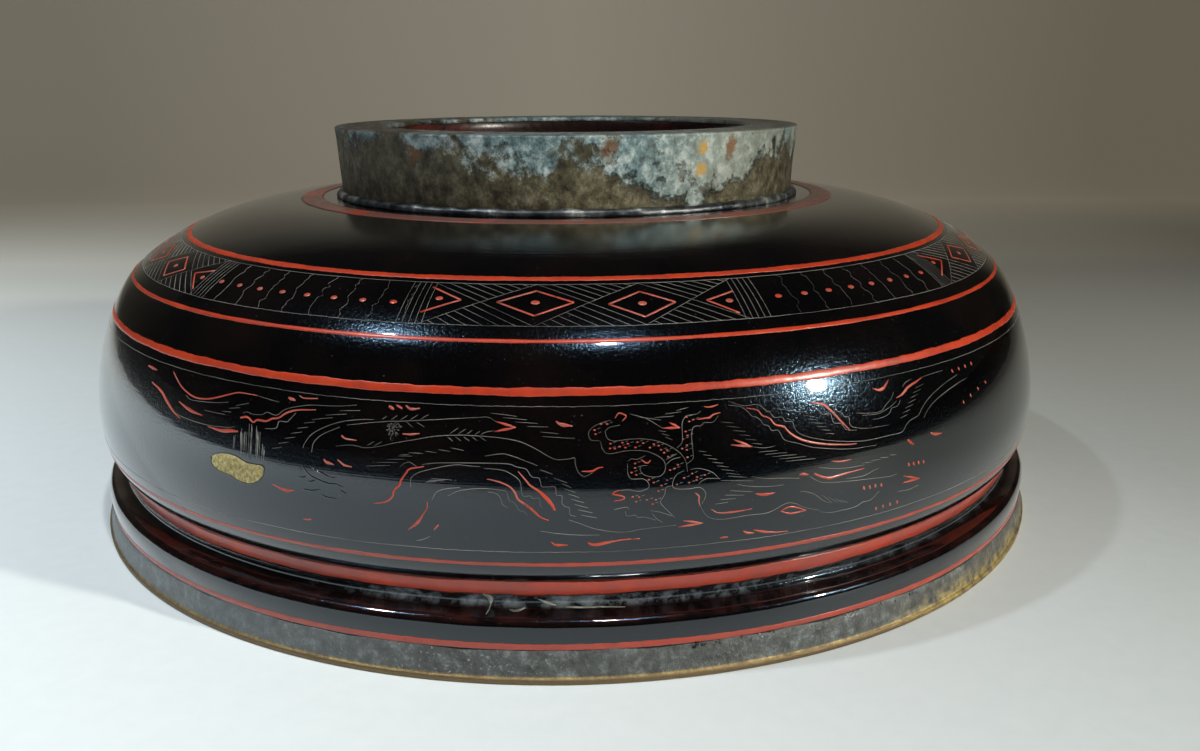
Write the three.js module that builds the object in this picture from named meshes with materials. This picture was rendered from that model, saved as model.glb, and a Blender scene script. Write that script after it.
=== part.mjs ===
import * as THREE from 'three';

// A turned wooden bowl, lacquered, with a metal band on its lip and another on its foot ring.
// It stands upside down on its mouth. Millimetres, +Z up, origin at the centre of the mouth plane.

// Outside of the lacquered wall: insets are measured in from the belly, heights add up from the mouth
const BELLY_RADIUS = 120.2;
const MOUTH_INSET = -0.8;
const COLLAR_FOOT_INSET = 0.2;
const COLLAR_BULGE = 1.2;
const COLLAR_TOP_INSET = 2.2;
const COLLAR_HEIGHT = 4.8;
const GROOVE_DEPTH = 5.6;
const GROOVE_HEIGHT = 4.3;
const RIDGE_FOOT_INSET = 3.8;
const RIDGE_TOP_INSET = 3.2;
const RIDGE_HEIGHT = 2.9;
const BELLY_TURN = 3.0;
const BELLY_LOW_RISE = 12.0;
const BELLY_HIGH_RISE = 30.2;
const BELLY_UPRIGHT = 9.0;
const SHOULDER_INSET = 10.7;
const SHOULDER_LEAD = 8.0;
const SHOULDER_SLOPE = 42;
const FRIEZE_WIDTH = 13.1;
const FRIEZE_RISE = 8.4;
const FRIEZE_CROWN = 0.7;
const CROWN_RISE = 6.6;
const CROWN_SLOPE = 24;

// Layers of the wall, from the outside in, and the bond line between any two of them
const LACQUER_COAT = 0.6;
const GROUND_COAT = 0.7;
const WOOD_WALL = 3.2;
const LINING_GROUND_COAT = 0.7;
const LINING_LACQUER_COAT = 0.6;
const BOND = 0.3;

// Metal band on the lip
const LIP_BAND_HEIGHT = 6.0;
const LIP_BAND_WALL = 0.6;
const LIP_WEB = 0.9;
const LIP_BEAD = 0.4;

// Foot ring, its metal band and the coat inside it
const FOOT_BASE_RADIUS = 58.7;
const FOOT_FLARE = 1.3;
const FOOT_HEIGHT = 17.3;
const FOOT_RING_WIDTH = 13;
const FOOT_BAND_WALL = 1.0;
const FOOT_FLANGE = 1.2;
const FOOT_EDGE_CHAMFER = 0.3;
const FOOT_LEDGE = 3.0;
const FILLET_LEG = 1.6;
const BASE_COAT = 0.7;

// Facets around the axis, and along each curve of the outside and of the inside of the wall
const FACETS = 40;
const OUTSIDE_STEPS = 3;
const INSIDE_STEPS = 2;

// Depths below the outside face at which each layer starts and ends
const lacquerBack = LACQUER_COAT;
const groundFace = lacquerBack + BOND;
const groundBack = groundFace + GROUND_COAT;
const woodFace = groundBack + BOND;
const woodBack = woodFace + WOOD_WALL;
const liningGroundFace = woodBack + BOND;
const liningGroundBack = liningGroundFace + LINING_GROUND_COAT;
const liningFace = liningGroundBack + BOND;
const liningBack = liningFace + LINING_LACQUER_COAT;

// Heights of the zones, from the mouth up
const collarTop = LIP_BAND_HEIGHT + COLLAR_HEIGHT;
const ridgeFoot = collarTop + GROOVE_HEIGHT;
const ridgeTop = ridgeFoot + RIDGE_HEIGHT;
const bellyHeight = ridgeTop + BELLY_LOW_RISE;
const shoulderHeight = bellyHeight + BELLY_HIGH_RISE;
const crownFoot = shoulderHeight + FRIEZE_RISE;
const seatHeight = crownFoot + CROWN_RISE;
const footTop = seatHeight + FOOT_HEIGHT;

// Radii of the foot
const seatRadius = FOOT_BASE_RADIUS + FOOT_LEDGE;
const footTopRadius = FOOT_BASE_RADIUS + FOOT_FLARE;
const footInside = footTopRadius - FOOT_RING_WIDTH;

// The wall's outside line from the mouth to the flat seat of the foot, as one path in (radius, height)
function outsidePath() {
  const shoulderRadius = BELLY_RADIUS - SHOULDER_INSET;
  const crownRadius = shoulderRadius - FRIEZE_WIDTH;
  const slope = THREE.MathUtils.degToRad(SHOULDER_SLOPE);
  const crownRun = CROWN_RISE / Math.tan(THREE.MathUtils.degToRad(CROWN_SLOPE));
  const crownTurn = Math.max(crownRadius - crownRun, (crownRadius + seatRadius) / 2);
  const friezeBow = new THREE.Vector2(FRIEZE_RISE, FRIEZE_WIDTH).normalize().multiplyScalar(2 * FRIEZE_CROWN);
  const path = new THREE.Path();
  path.moveTo(BELLY_RADIUS - MOUTH_INSET, 0);
  path.lineTo(BELLY_RADIUS - COLLAR_FOOT_INSET, LIP_BAND_HEIGHT);
  path.quadraticCurveTo(
    BELLY_RADIUS - COLLAR_FOOT_INSET + COLLAR_BULGE, collarTop - COLLAR_HEIGHT / 4,
    BELLY_RADIUS - COLLAR_TOP_INSET, collarTop,
  );
  const grooveTurn = 2 * GROOVE_DEPTH - (COLLAR_TOP_INSET + RIDGE_FOOT_INSET) / 2;
  path.quadraticCurveTo(
    BELLY_RADIUS - grooveTurn, collarTop + GROOVE_HEIGHT / 2,
    BELLY_RADIUS - RIDGE_FOOT_INSET, ridgeFoot,
  );
  path.lineTo(BELLY_RADIUS - RIDGE_TOP_INSET, ridgeTop);
  path.quadraticCurveTo(BELLY_RADIUS, ridgeTop + BELLY_TURN, BELLY_RADIUS, bellyHeight);
  path.bezierCurveTo(
    BELLY_RADIUS, bellyHeight + BELLY_UPRIGHT,
    shoulderRadius + SHOULDER_LEAD * Math.cos(slope), shoulderHeight - SHOULDER_LEAD * Math.sin(slope),
    shoulderRadius, shoulderHeight,
  );
  path.quadraticCurveTo(
    shoulderRadius - FRIEZE_WIDTH / 2 + friezeBow.x, shoulderHeight + FRIEZE_RISE / 2 + friezeBow.y,
    crownRadius, crownFoot,
  );
  path.quadraticCurveTo(crownTurn, seatHeight, seatRadius, seatHeight);
  return path;
}

// Points of the outside line with the way out of the wall at each: level up to the belly, square above it
function wallLine(steps) {
  const points = outsidePath().getPoints(steps);
  const last = points.length - 1;
  return points.map((point, i) => {
    const before = points[Math.max(i - 1, 0)];
    const after = points[Math.min(i + 1, last)];
    const out = new THREE.Vector2(after.y - before.y, before.x - after.x).normalize();
    if (point.y <= bellyHeight) {
      out.set(1, 0);
    }
    if (i === last) {
      out.set(0, 1);
    }
    return { point, out };
  });
}

const outsideLine = wallLine(OUTSIDE_STEPS);
const insideLine = wallLine(INSIDE_STEPS);

// The line at a depth below the outside face, cut off level at a height above the mouth
function lineAtDepth(line, depth, floor) {
  const points = line.map(({ point, out }) => point.clone().addScaledVector(out, -depth));
  const above = points.findIndex((point) => point.y > floor);
  const below = Math.max(above - 1, 0);
  const share = (floor - points[below].y) / (points[above].y - points[below].y);
  const start = points[below].clone().lerp(points[above], share);
  return [start, ...points.slice(above)];
}

// A line carried on, level, to a radius nearer the axis
function extendedTo(points, radius) {
  return [...points, new THREE.Vector2(radius, points.at(-1).y)];
}

// A solid of revolution about +Z from a profile that runs anticlockwise in (radius, height)
function turned(name, profile, material) {
  const closed = profile[0].x > 0 ? [...profile, profile[0].clone()] : profile;
  const geometry = new THREE.LatheGeometry(closed, FACETS);
  geometry.rotateX(Math.PI / 2);
  const mesh = new THREE.Mesh(geometry, material);
  mesh.name = name;
  return mesh;
}

function finish(color, roughness, metalness) {
  return new THREE.MeshStandardMaterial({ color, roughness, metalness });
}

function point(radius, height) {
  return new THREE.Vector2(radius, height);
}

// A layer of the wall between two depths, from a height above the mouth to a radius near the axis
function wallLayer(name, { outer, outerDepth, inner, innerDepth, floor, reach }, material) {
  const face = extendedTo(lineAtDepth(outer, outerDepth, floor), reach);
  const back = extendedTo(lineAtDepth(inner, innerDepth, floor), reach);
  return turned(name, [...back.reverse(), ...face], material);
}

// Where the layers stop: on the web of the lip band, on the top edge of its legs, and round the foot ring
const webTop = LIP_WEB + BOND;
const legTop = LIP_BAND_HEIGHT + BOND;
const ringReach = FOOT_BASE_RADIUS - FOOT_BAND_WALL;

function woodCore() {
  return wallLayer('wood_core', {
    outer: outsideLine, outerDepth: woodFace, inner: insideLine, innerDepth: woodBack,
    floor: webTop, reach: 0,
  }, finish(0x8a6a45, 0.8, 0));
}

function outerGround() {
  return wallLayer('outer_ground', {
    outer: outsideLine, outerDepth: groundFace, inner: outsideLine, innerDepth: groundBack,
    floor: webTop, reach: ringReach,
  }, finish(0xa8935a, 0.95, 0));
}

function outerLacquer() {
  return wallLayer('outer_lacquer', {
    outer: outsideLine, outerDepth: 0, inner: outsideLine, innerDepth: lacquerBack,
    floor: legTop, reach: ringReach,
  }, finish(0x0b0908, 0.12, 0));
}

function innerGround() {
  return wallLayer('inner_ground', {
    outer: insideLine, outerDepth: liningGroundFace, inner: insideLine, innerDepth: liningGroundBack,
    floor: webTop, reach: 0,
  }, finish(0xa8935a, 0.95, 0));
}

function innerLacquer() {
  return wallLayer('inner_lacquer', {
    outer: insideLine, outerDepth: liningFace, inner: insideLine, innerDepth: liningBack,
    floor: legTop, reach: 0,
  }, finish(0x8f2a1a, 0.25, 0));
}

// A channel over the lip: two legs flush with the lacquer on each side of the wall, and a flat web
function lipBand() {
  const outside = BELLY_RADIUS - MOUTH_INSET;
  const outsideTop = BELLY_RADIUS - COLLAR_FOOT_INSET;
  const taper = (outside - outsideTop) / LIP_BAND_HEIGHT;
  const legFace = (depth, height) => point(outside - taper * height - depth, height);
  return turned('rim_band', [
    legFace(liningBack, 0),
    point(outside + LIP_BEAD, 0),
    point(outside + LIP_BEAD, LIP_WEB),
    legFace(0, LIP_WEB + LIP_BEAD),
    legFace(0, LIP_BAND_HEIGHT),
    legFace(LIP_BAND_WALL, LIP_BAND_HEIGHT),
    legFace(LIP_BAND_WALL, LIP_WEB),
    legFace(liningFace, LIP_WEB),
    legFace(liningFace, LIP_BAND_HEIGHT),
    legFace(liningBack, LIP_BAND_HEIGHT),
  ], finish(0x6f6a5c, 0.45, 0.9));
}

// The wooden ring glued to the floor of the core, inside the foot band
function footCore() {
  const bottom = seatHeight - woodFace + BOND;
  const top = footTop - FOOT_FLANGE - BOND;
  const outside = ringReach - 2 * BOND;
  const inside = footInside + BASE_COAT + BOND;
  return turned('foot_core', [
    point(inside, bottom),
    point(outside, bottom),
    point(outside, top),
    point(inside, top),
  ], finish(0x8a6a45, 0.8, 0));
}

// A sleeve round the foot ring with a flange turned in over the standing face
function footBand() {
  const bottom = seatHeight + BOND;
  const flangeBack = footTop - FOOT_FLANGE;
  return turned('foot_band', [
    point(FOOT_BASE_RADIUS - FOOT_BAND_WALL, bottom),
    point(FOOT_BASE_RADIUS, bottom),
    point(footTopRadius, footTop - FOOT_EDGE_CHAMFER),
    point(footTopRadius - FOOT_EDGE_CHAMFER, footTop),
    point(footInside + FOOT_EDGE_CHAMFER, footTop),
    point(footInside, footTop - FOOT_EDGE_CHAMFER),
    point(footInside, flangeBack),
    point(FOOT_BASE_RADIUS - FOOT_BAND_WALL, flangeBack),
  ], finish(0x6b6450, 0.55, 0.8));
}

// The bead of bedding paste in the corner between the foot band and the lacquer
function footFillet() {
  const inside = FOOT_BASE_RADIUS + BOND;
  const bottom = seatHeight + BOND;
  const lean = FOOT_FLARE / FOOT_HEIGHT;
  return turned('foot_fillet', [
    point(inside, bottom),
    point(inside + FILLET_LEG, bottom),
    point(inside + FILLET_LEG / 3, bottom + FILLET_LEG / 3),
    point(inside + lean * FILLET_LEG, bottom + FILLET_LEG),
  ], finish(0x9a9a94, 0.4, 0.5));
}

// The coat on the recessed base and up the inside of the foot ring
function baseLacquer() {
  const bottom = seatHeight - woodFace + BOND;
  const top = footTop - FOOT_FLANGE - BOND;
  return turned('base_lacquer', [
    point(0, bottom),
    point(footInside + BASE_COAT, bottom),
    point(footInside + BASE_COAT, top),
    point(footInside, top),
    point(footInside, bottom + BASE_COAT),
    point(0, bottom + BASE_COAT),
  ], finish(0x3a1712, 0.4, 0));
}

const bowl = new THREE.Group();
bowl.add(
  woodCore(),
  footCore(),
  outerGround(),
  outerLacquer(),
  innerGround(),
  innerLacquer(),
  baseLacquer(),
  lipBand(),
  footBand(),
  footFillet(),
);

export default bowl;
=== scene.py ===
import math
import random

import bpy
import numpy as np
from mathutils import Matrix, Vector


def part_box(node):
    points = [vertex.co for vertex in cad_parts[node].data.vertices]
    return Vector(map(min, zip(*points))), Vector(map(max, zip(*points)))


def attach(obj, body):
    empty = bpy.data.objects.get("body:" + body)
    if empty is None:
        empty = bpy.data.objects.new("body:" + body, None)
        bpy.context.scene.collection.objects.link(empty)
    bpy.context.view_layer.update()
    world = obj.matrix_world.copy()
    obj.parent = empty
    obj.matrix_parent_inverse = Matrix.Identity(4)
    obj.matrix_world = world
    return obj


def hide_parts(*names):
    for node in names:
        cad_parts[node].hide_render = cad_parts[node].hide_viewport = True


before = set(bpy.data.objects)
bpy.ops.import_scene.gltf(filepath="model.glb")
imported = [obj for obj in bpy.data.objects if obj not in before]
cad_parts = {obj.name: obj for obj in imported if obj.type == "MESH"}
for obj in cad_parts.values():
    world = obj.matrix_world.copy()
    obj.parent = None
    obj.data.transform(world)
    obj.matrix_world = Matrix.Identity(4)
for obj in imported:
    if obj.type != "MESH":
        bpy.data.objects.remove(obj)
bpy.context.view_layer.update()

# Sizes of the bowl are millimetres, and meshes are made in metres
MM = 0.001

# Outside of the lacquered wall: radii, and points of radius and height above the mouth
BELLY_RADIUS = 120.2
MOUTH_RADIUS = 121.0
COLLAR_FOOT_RADIUS = 120.0
COLLAR_LEAN = (120.3, 9.0)
COLLAR_TURN = (120.9, 11.95)
COLLAR_TOP = (118.6, 12.0)
GROOVE_TURN = (114.6, 12.4)
RIDGE_FOOT = (116.4, 15.1)
RIDGE_TOP = (117.0, 18.0)
BELLY_TURN = (BELLY_RADIUS, 21.0)
BELLY = (BELLY_RADIUS, 30.0)
BELLY_UPRIGHT = (BELLY_RADIUS, 39.0)
SHOULDER_LEAD = (115.45, 54.85)
SHOULDER = (109.5, 60.2)
FRIEZE_TURN = (103.7, 65.6)
CROWN_FOOT = (96.4, 68.6)
CROWN_TURN = (81.6, 75.2)
SEAT = (61.7, 75.2)

# Bands, coats and foot
LIP_BAND_HEIGHT = 6.0
LIP_BEAD = 0.4
LIP_WEB = 0.9
LACQUER_COAT = 0.6
WALL = 7.0
BOND = 0.3
FOOT_TOP_RADIUS = 60.0
FOOT_BASE_RADIUS = 58.7
FOOT_INSIDE = 47.0
FOOT_BAND_WALL = 1.0
FOOT_FLANGE = 1.2
FOOT_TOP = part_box("foot_band")[1][2] / MM
BASE_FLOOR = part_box("base_lacquer")[0][2] / MM
BASE_COAT = 0.7
BASE_CHAMFER = 1.5
BEAD_SIZE = 1.2
BEAD_OFFSET = 0.4
BEAD_TURNS = 24
LINING_CREASE = math.radians(50)
SEAM = 0.05
TOUCH = 0.02
# How far from the axis the coats of the floor begin
CENTRE = 0.02
# Decimals of the points that are read from a node's mesh
POINT_DECIMALS = 2

# Lip band: wall of its inner leg, of its outer leg at both ends, and how far it stands proud and laps over
LIP_LEG = 0.6
LIP_WALL_FOOT = 0.75
LIP_WALL_TOP = 0.55
LIP_PROUD = 0.12
LIP_LAP = 0.1
LIP_RIPPLE = 0.8
LIP_RIPPLE_FROM = 4.5
LIP_RIPPLE_RISE = 1.5
LIP_DENT_FROM = 1
LIP_DENT_RISE = 2
LIP_OUTER_DEPTH = 1

# Foot band: rounding of its standing edge, and the bend that leads to it
FOOT_EDGE = 0.35
FOOT_BEND = (0.1, 0.9)
FOOT_DENT_RISE = 3

# Waves round the bowl: size, count and shift
WALL_WAVES = ((0.07, 3, 0.11), (0.03, 7, -0.23))
COLLAR_WAVES = ((1, 13, 0), (1, 31, 1), (1, 53, 2))
COLLAR_RIPPLE = 0.06
COLLAR_REACH = 3
FADE_LENGTH = 10
LIP_WAVES = ((0.16, 23, 0), (0.12, 41, 1), (0.1, 67, 2))
LIP_DENTS = ((0.08, 17, 0.6),)
FOOT_DENTS = ((0.10, 5, 0.3), (0.06, 13, -0.5))
BEAD_LUMPS = ((0.10, 19, 0), (0.08, 43, 0.5), (0.05, 71, 0))

# Camera found from the painted rings of the photograph, in its 1200 x 751 frame
PHOTO_WIDTH = 1200
PHOTO_HEIGHT = 751
FOCAL_PIXELS = 1055.8
CAMERA_PLACE = (0.0, -287.3, 104.0)
CAMERA_PITCH = math.radians(15.74)
CAMERA_YAW = math.radians(-1.68)
CAMERA_ROLL = math.radians(-0.23)
SENSOR_MM = 36.0
CLIP_START = 0.01

SEGMENTS = 512
COARSE_SEGMENTS = 256
CURVE_STEPS = 24
RIDGE_STEPS = 4
SHOULDER_MARGIN = 4


def bezier(controls, steps=CURVE_STEPS):
    """Points of a Bezier curve of any degree, without its first point."""
    degree = len(controls) - 1
    share = np.linspace(0, 1, steps + 1)[1:, None]
    total = np.zeros((steps, 2))
    for i, control in enumerate(controls):
        weight = math.comb(degree, i) * share ** i * (1 - share) ** (degree - i)
        total += weight * np.array(control)
    return total


def wall_outline():
    """The outside of the wall from the mouth to the seat of the foot, as rows of radius and height."""
    collar_foot = (COLLAR_FOOT_RADIUS, LIP_BAND_HEIGHT)
    return np.concatenate([
        [(MOUTH_RADIUS, 0.0), collar_foot],
        bezier([collar_foot, COLLAR_LEAN, COLLAR_TURN, COLLAR_TOP]),
        bezier([COLLAR_TOP, GROOVE_TURN, RIDGE_FOOT]),
        bezier([RIDGE_FOOT, RIDGE_TOP], RIDGE_STEPS),
        bezier([RIDGE_TOP, BELLY_TURN, BELLY]),
        bezier([BELLY, BELLY_UPRIGHT, SHOULDER_LEAD, SHOULDER], 2 * CURVE_STEPS),
        bezier([SHOULDER, FRIEZE_TURN, CROWN_FOOT]),
        bezier([CROWN_FOOT, CROWN_TURN, SEAT]),
    ])


OUTLINE = wall_outline()
STEPS_ALONG = np.linalg.norm(np.diff(OUTLINE, axis=0), axis=1)
ALONG = np.concatenate([[0.0], np.cumsum(STEPS_ALONG)])
SLOPE = np.gradient(OUTLINE, ALONG, axis=0)
COLLAR_EDGE = np.interp(COLLAR_TOP[1], OUTLINE[:, 1], ALONG)


def along_at_height(height):
    """Distance along the outline at a height above the mouth."""
    return np.interp(height, OUTLINE[:, 1], ALONG)


def along_at_radius(radius):
    """Distance along the outline at a radius above the shoulder, where the wall turns in to the foot."""
    start = int(np.argmin(np.abs(ALONG - along_at_height(SHOULDER[1] - SHOULDER_MARGIN))))
    return np.interp(-radius, -OUTLINE[start:, 0], ALONG[start:])


def waves(angle, rows, along=1.0):
    """Unevenness round the bowl as a sum of waves, whose shift may grow along the wall."""
    return sum(size * np.sin(count * angle + shift * along) for size, count, shift in rows)


def around(angles, radius, height):
    """Points at a radius and height, turned to each angle."""
    return np.stack([radius * np.cos(angles), radius * np.sin(angles), height + 0 * angles], -1)


def wall_points(angle, along, lift=0.0):
    """Points on the wall, lifted off it, with the wall's slight hand-turned unevenness."""
    angle, along = np.broadcast_arrays(np.asarray(angle, float), np.asarray(along, float))
    radius = np.interp(along, ALONG, OUTLINE[:, 0])
    height = np.interp(along, ALONG, OUTLINE[:, 1])
    out_radius = np.interp(along, ALONG, SLOPE[:, 1])
    out_height = -np.interp(along, ALONG, SLOPE[:, 0])
    near_edge = np.exp(-((along - COLLAR_EDGE) / COLLAR_REACH) ** 2)
    uneven = waves(angle, WALL_WAVES, along) + COLLAR_RIPPLE * waves(angle, COLLAR_WAVES) * near_edge
    to_ends = np.minimum(along - ALONG[1], ALONG[-1] - along)
    rise = lift + uneven * np.clip(to_ends / FADE_LENGTH, 0, 1)
    return around(angle, radius + out_radius * rise, height + out_height * rise)


def camera_rotation():
    """Rows of the camera's right, down and forward directions in the frame of the bowl."""
    cp, sp = math.cos(CAMERA_PITCH), math.sin(CAMERA_PITCH)
    cy, sy = math.cos(CAMERA_YAW), math.sin(CAMERA_YAW)
    cr, sr = math.cos(CAMERA_ROLL), math.sin(CAMERA_ROLL)
    base = np.array([[1, 0, 0], [0, 0, -1], [0, 1, 0]])
    turn = np.array([[cy, sy, 0], [-sy, cy, 0], [0, 0, 1]])
    tilt = np.array([[1, 0, 0], [0, cp, -sp], [0, sp, cp]])
    spin = np.array([[cr, -sr, 0], [sr, cr, 0], [0, 0, 1]])
    return spin @ tilt @ base @ turn


def make_camera():
    """The camera that took the photograph."""
    camera = bpy.data.objects.new("camera", bpy.data.cameras.new("camera"))
    bpy.context.scene.collection.objects.link(camera)
    camera.data.sensor_fit = "HORIZONTAL"
    camera.data.sensor_width = SENSOR_MM
    camera.data.lens = SENSOR_MM * FOCAL_PIXELS / PHOTO_WIDTH
    camera.data.clip_start = CLIP_START
    turned = camera_rotation().T @ np.diag([1, -1, -1])
    place = Matrix.Translation([v * MM for v in CAMERA_PLACE])
    camera.matrix_world = place @ Matrix(turned.tolist()).to_4x4()
    bpy.context.scene.camera = camera


RAY_NEAR = 120.0
RAY_FAR = 420.0
RAY_STEP = 0.1


def cast(pixels):
    """Angles and distances along the outline where the rays of photograph pixels first meet the wall."""
    pixels = np.asarray(pixels, float)
    middle = np.array([PHOTO_WIDTH, PHOTO_HEIGHT]) / 2
    rays = np.concatenate([(pixels - middle) / FOCAL_PIXELS, np.ones((len(pixels), 1))], 1)
    reach = np.arange(RAY_NEAR, RAY_FAR, RAY_STEP)
    points = np.array(CAMERA_PLACE) + reach[None, :, None] * (rays @ camera_rotation())[:, None, :]
    radius = np.hypot(points[..., 0], points[..., 1])
    wall_radius = np.interp(points[..., 2], OUTLINE[:, 1], OUTLINE[:, 0])
    inside = (radius < wall_radius) & (points[..., 2] < SEAT[1])
    hits = points[np.arange(len(pixels)), np.argmax(inside, axis=1)]
    return np.stack([np.arctan2(hits[:, 1], hits[:, 0]), along_at_height(hits[:, 2])], 1)


# Meshes

UV_SCALE = 0.01
CORNER_NEAR = 0.12
ROW_STEP = 2.0
PATH_STEPS = 4


def finish_piece(name, verts, faces, material, uvs=None):
    """A smooth-shaded mesh piece in metres that rides on the bowl's one body."""
    mesh = bpy.data.meshes.new(name)
    mesh.from_pydata((np.asarray(verts) * MM).tolist(), [], faces)
    mesh.polygons.foreach_set("use_smooth", [True] * len(mesh.polygons))
    if uvs is not None:
        layer = mesh.uv_layers.new(name="around")
        corners = np.empty(len(mesh.loops), dtype=np.int32)
        mesh.loops.foreach_get("vertex_index", corners)
        layer.data.foreach_set("uv", np.asarray(uvs)[corners].ravel())
    mesh.validate()
    mesh.update()
    mesh.materials.append(material)
    piece = bpy.data.objects.new(name, mesh)
    bpy.context.scene.collection.objects.link(piece)
    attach(piece, "root")
    return piece


def ring_faces(rows, columns, closed_rows):
    """Faces of a grid that closes on itself along its columns, and along its rows if asked."""
    faces = []
    for i in range(rows if closed_rows else rows - 1):
        j = (i + 1) % rows
        for k in range(columns):
            m = (k + 1) % columns
            faces.append((i * columns + k, i * columns + m, j * columns + m, j * columns + k))
    return faces


def turned_piece(name, section, material, segments=SEGMENTS):
    """A piece of revolution. section(angles) gives rows of a closed outline, with a column for each angle."""
    angles = np.linspace(0, 2 * math.pi, segments, endpoint=False) + math.pi / 2
    grid = section(angles)
    rows = grid.shape[0]
    lengths = np.linalg.norm(np.diff(grid[:, 0], axis=0), axis=1)
    down = np.concatenate([[0.0], np.cumsum(lengths)])
    turned = np.linspace(0, 1, segments, endpoint=False)
    uvs = np.stack(np.meshgrid(turned, down * UV_SCALE, indexing="xy"), -1).reshape(-1, 2)
    faces = ring_faces(rows, segments, True)
    return finish_piece(name, grid.reshape(-1, 3), faces, material, uvs)


def spun(outline):
    """Section function for a plain outline of radius and height, without unevenness."""
    outline = np.asarray(outline, float)

    def section(angles):
        return around(angles, outline[:, 0, None], outline[:, 1, None])

    return section


def rounded(outline):
    """An outline with extra points along its sides, so that its corners stay crisp under smooth shading."""
    outline = np.asarray(outline, float)
    rows = []
    for a, b in zip(outline, np.roll(outline, -1, axis=0)):
        length = np.linalg.norm(b - a)
        near = min(CORNER_NEAR, length / 4) / length
        count = max(1, int(length / ROW_STEP))
        rows += [a + share * (b - a) for share in np.linspace(near, 1 - near, count + 2)]
    return np.array(rows)


class Ink:
    """Raised strokes and dots on the wall, gathered into one mesh."""

    SINK = 0.04
    TOP_SHARE = 0.72
    DOT_SIDES = 14
    DOME_SHARE = 0.8
    TINY = 1e-9

    def __init__(self, height):
        self.height = height
        self.verts = []
        self.faces = []

    def stroke(self, path, widths, closed=False):
        """A flat ridge along points of angle and distance along, with a width at each point."""
        path = np.asarray(path, float)
        widths = np.broadcast_to(np.asarray(widths, float), len(path))
        on_wall = wall_points(path[:, 0], path[:, 1])
        out = wall_points(path[:, 0], path[:, 1], 1.0) - on_wall
        if closed:
            ahead = np.roll(on_wall, -1, axis=0) - np.roll(on_wall, 1, axis=0)
        else:
            ahead = np.gradient(on_wall, axis=0)
        side = np.cross(out, ahead)
        side /= np.maximum(np.linalg.norm(side, axis=1, keepdims=True), self.TINY)
        half = side * widths[:, None] / 2
        rows = np.stack([
            on_wall - half - out * self.SINK,
            on_wall - half * self.TOP_SHARE + out * self.height,
            on_wall + half * self.TOP_SHARE + out * self.height,
            on_wall + half - out * self.SINK,
        ], 1)
        start = len(self.verts)
        self.verts += rows.reshape(-1, 3).tolist()
        count = len(path)
        for i in range(count if closed else count - 1):
            a, b = start + 4 * i, start + 4 * ((i + 1) % count)
            for k in range(4):
                m = (k + 1) % 4
                self.faces.append((a + k, a + m, b + m, b + k))
        if not closed:
            end = start + 4 * (count - 1)
            self.faces.append((start + 3, start + 2, start + 1, start))
            self.faces.append((end, end + 1, end + 2, end + 3))

    def dot(self, angle, along, across, tall, lean=0.0):
        """A small dome, oval and leaning if asked."""
        radius = float(np.interp(along, ALONG, OUTLINE[:, 0]))
        turns = np.linspace(0, 2 * math.pi, self.DOT_SIDES, endpoint=False)
        start = len(self.verts)
        for share, lift in ((1.0, -self.SINK), (self.TOP_SHARE, self.height * self.DOME_SHARE)):
            x = share * across / 2 * np.cos(turns)
            y = share * tall / 2 * np.sin(turns)
            u = x * math.cos(lean) - y * math.sin(lean)
            v = x * math.sin(lean) + y * math.cos(lean)
            self.verts += wall_points(angle + u / radius, along + v, lift).tolist()
        self.verts += wall_points([angle], [along], self.height).tolist()
        top = len(self.verts) - 1
        count = len(turns)
        for k in range(count):
            m = (k + 1) % count
            self.faces.append((start + k, start + m, start + count + m, start + count + k))
            self.faces.append((start + count + k, start + count + m, top))
        self.faces.append(tuple(start + k for k in range(count))[::-1])

    def piece(self, name, material, slot):
        return finish_piece(name, self.verts, self.faces, material)


def smooth_path(points):
    """A curve through given points, with a few steps between each two."""
    points = np.asarray(points, float)
    padded = np.concatenate([2 * points[:1] - points[1:2], points, 2 * points[-1:] - points[-2:-1]])
    rows = []
    for a, b, c, d in zip(padded, padded[1:], padded[2:], padded[3:]):
        for t in np.linspace(0, 1, PATH_STEPS, endpoint=False):
            rows.append(0.5 * (2 * b + (c - a) * t + (2 * a - 5 * b + 4 * c - d) * t ** 2
                               + (3 * b - a - 3 * c + d) * t ** 3))
    return np.array([*rows, points[-1]])


# Materials

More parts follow.
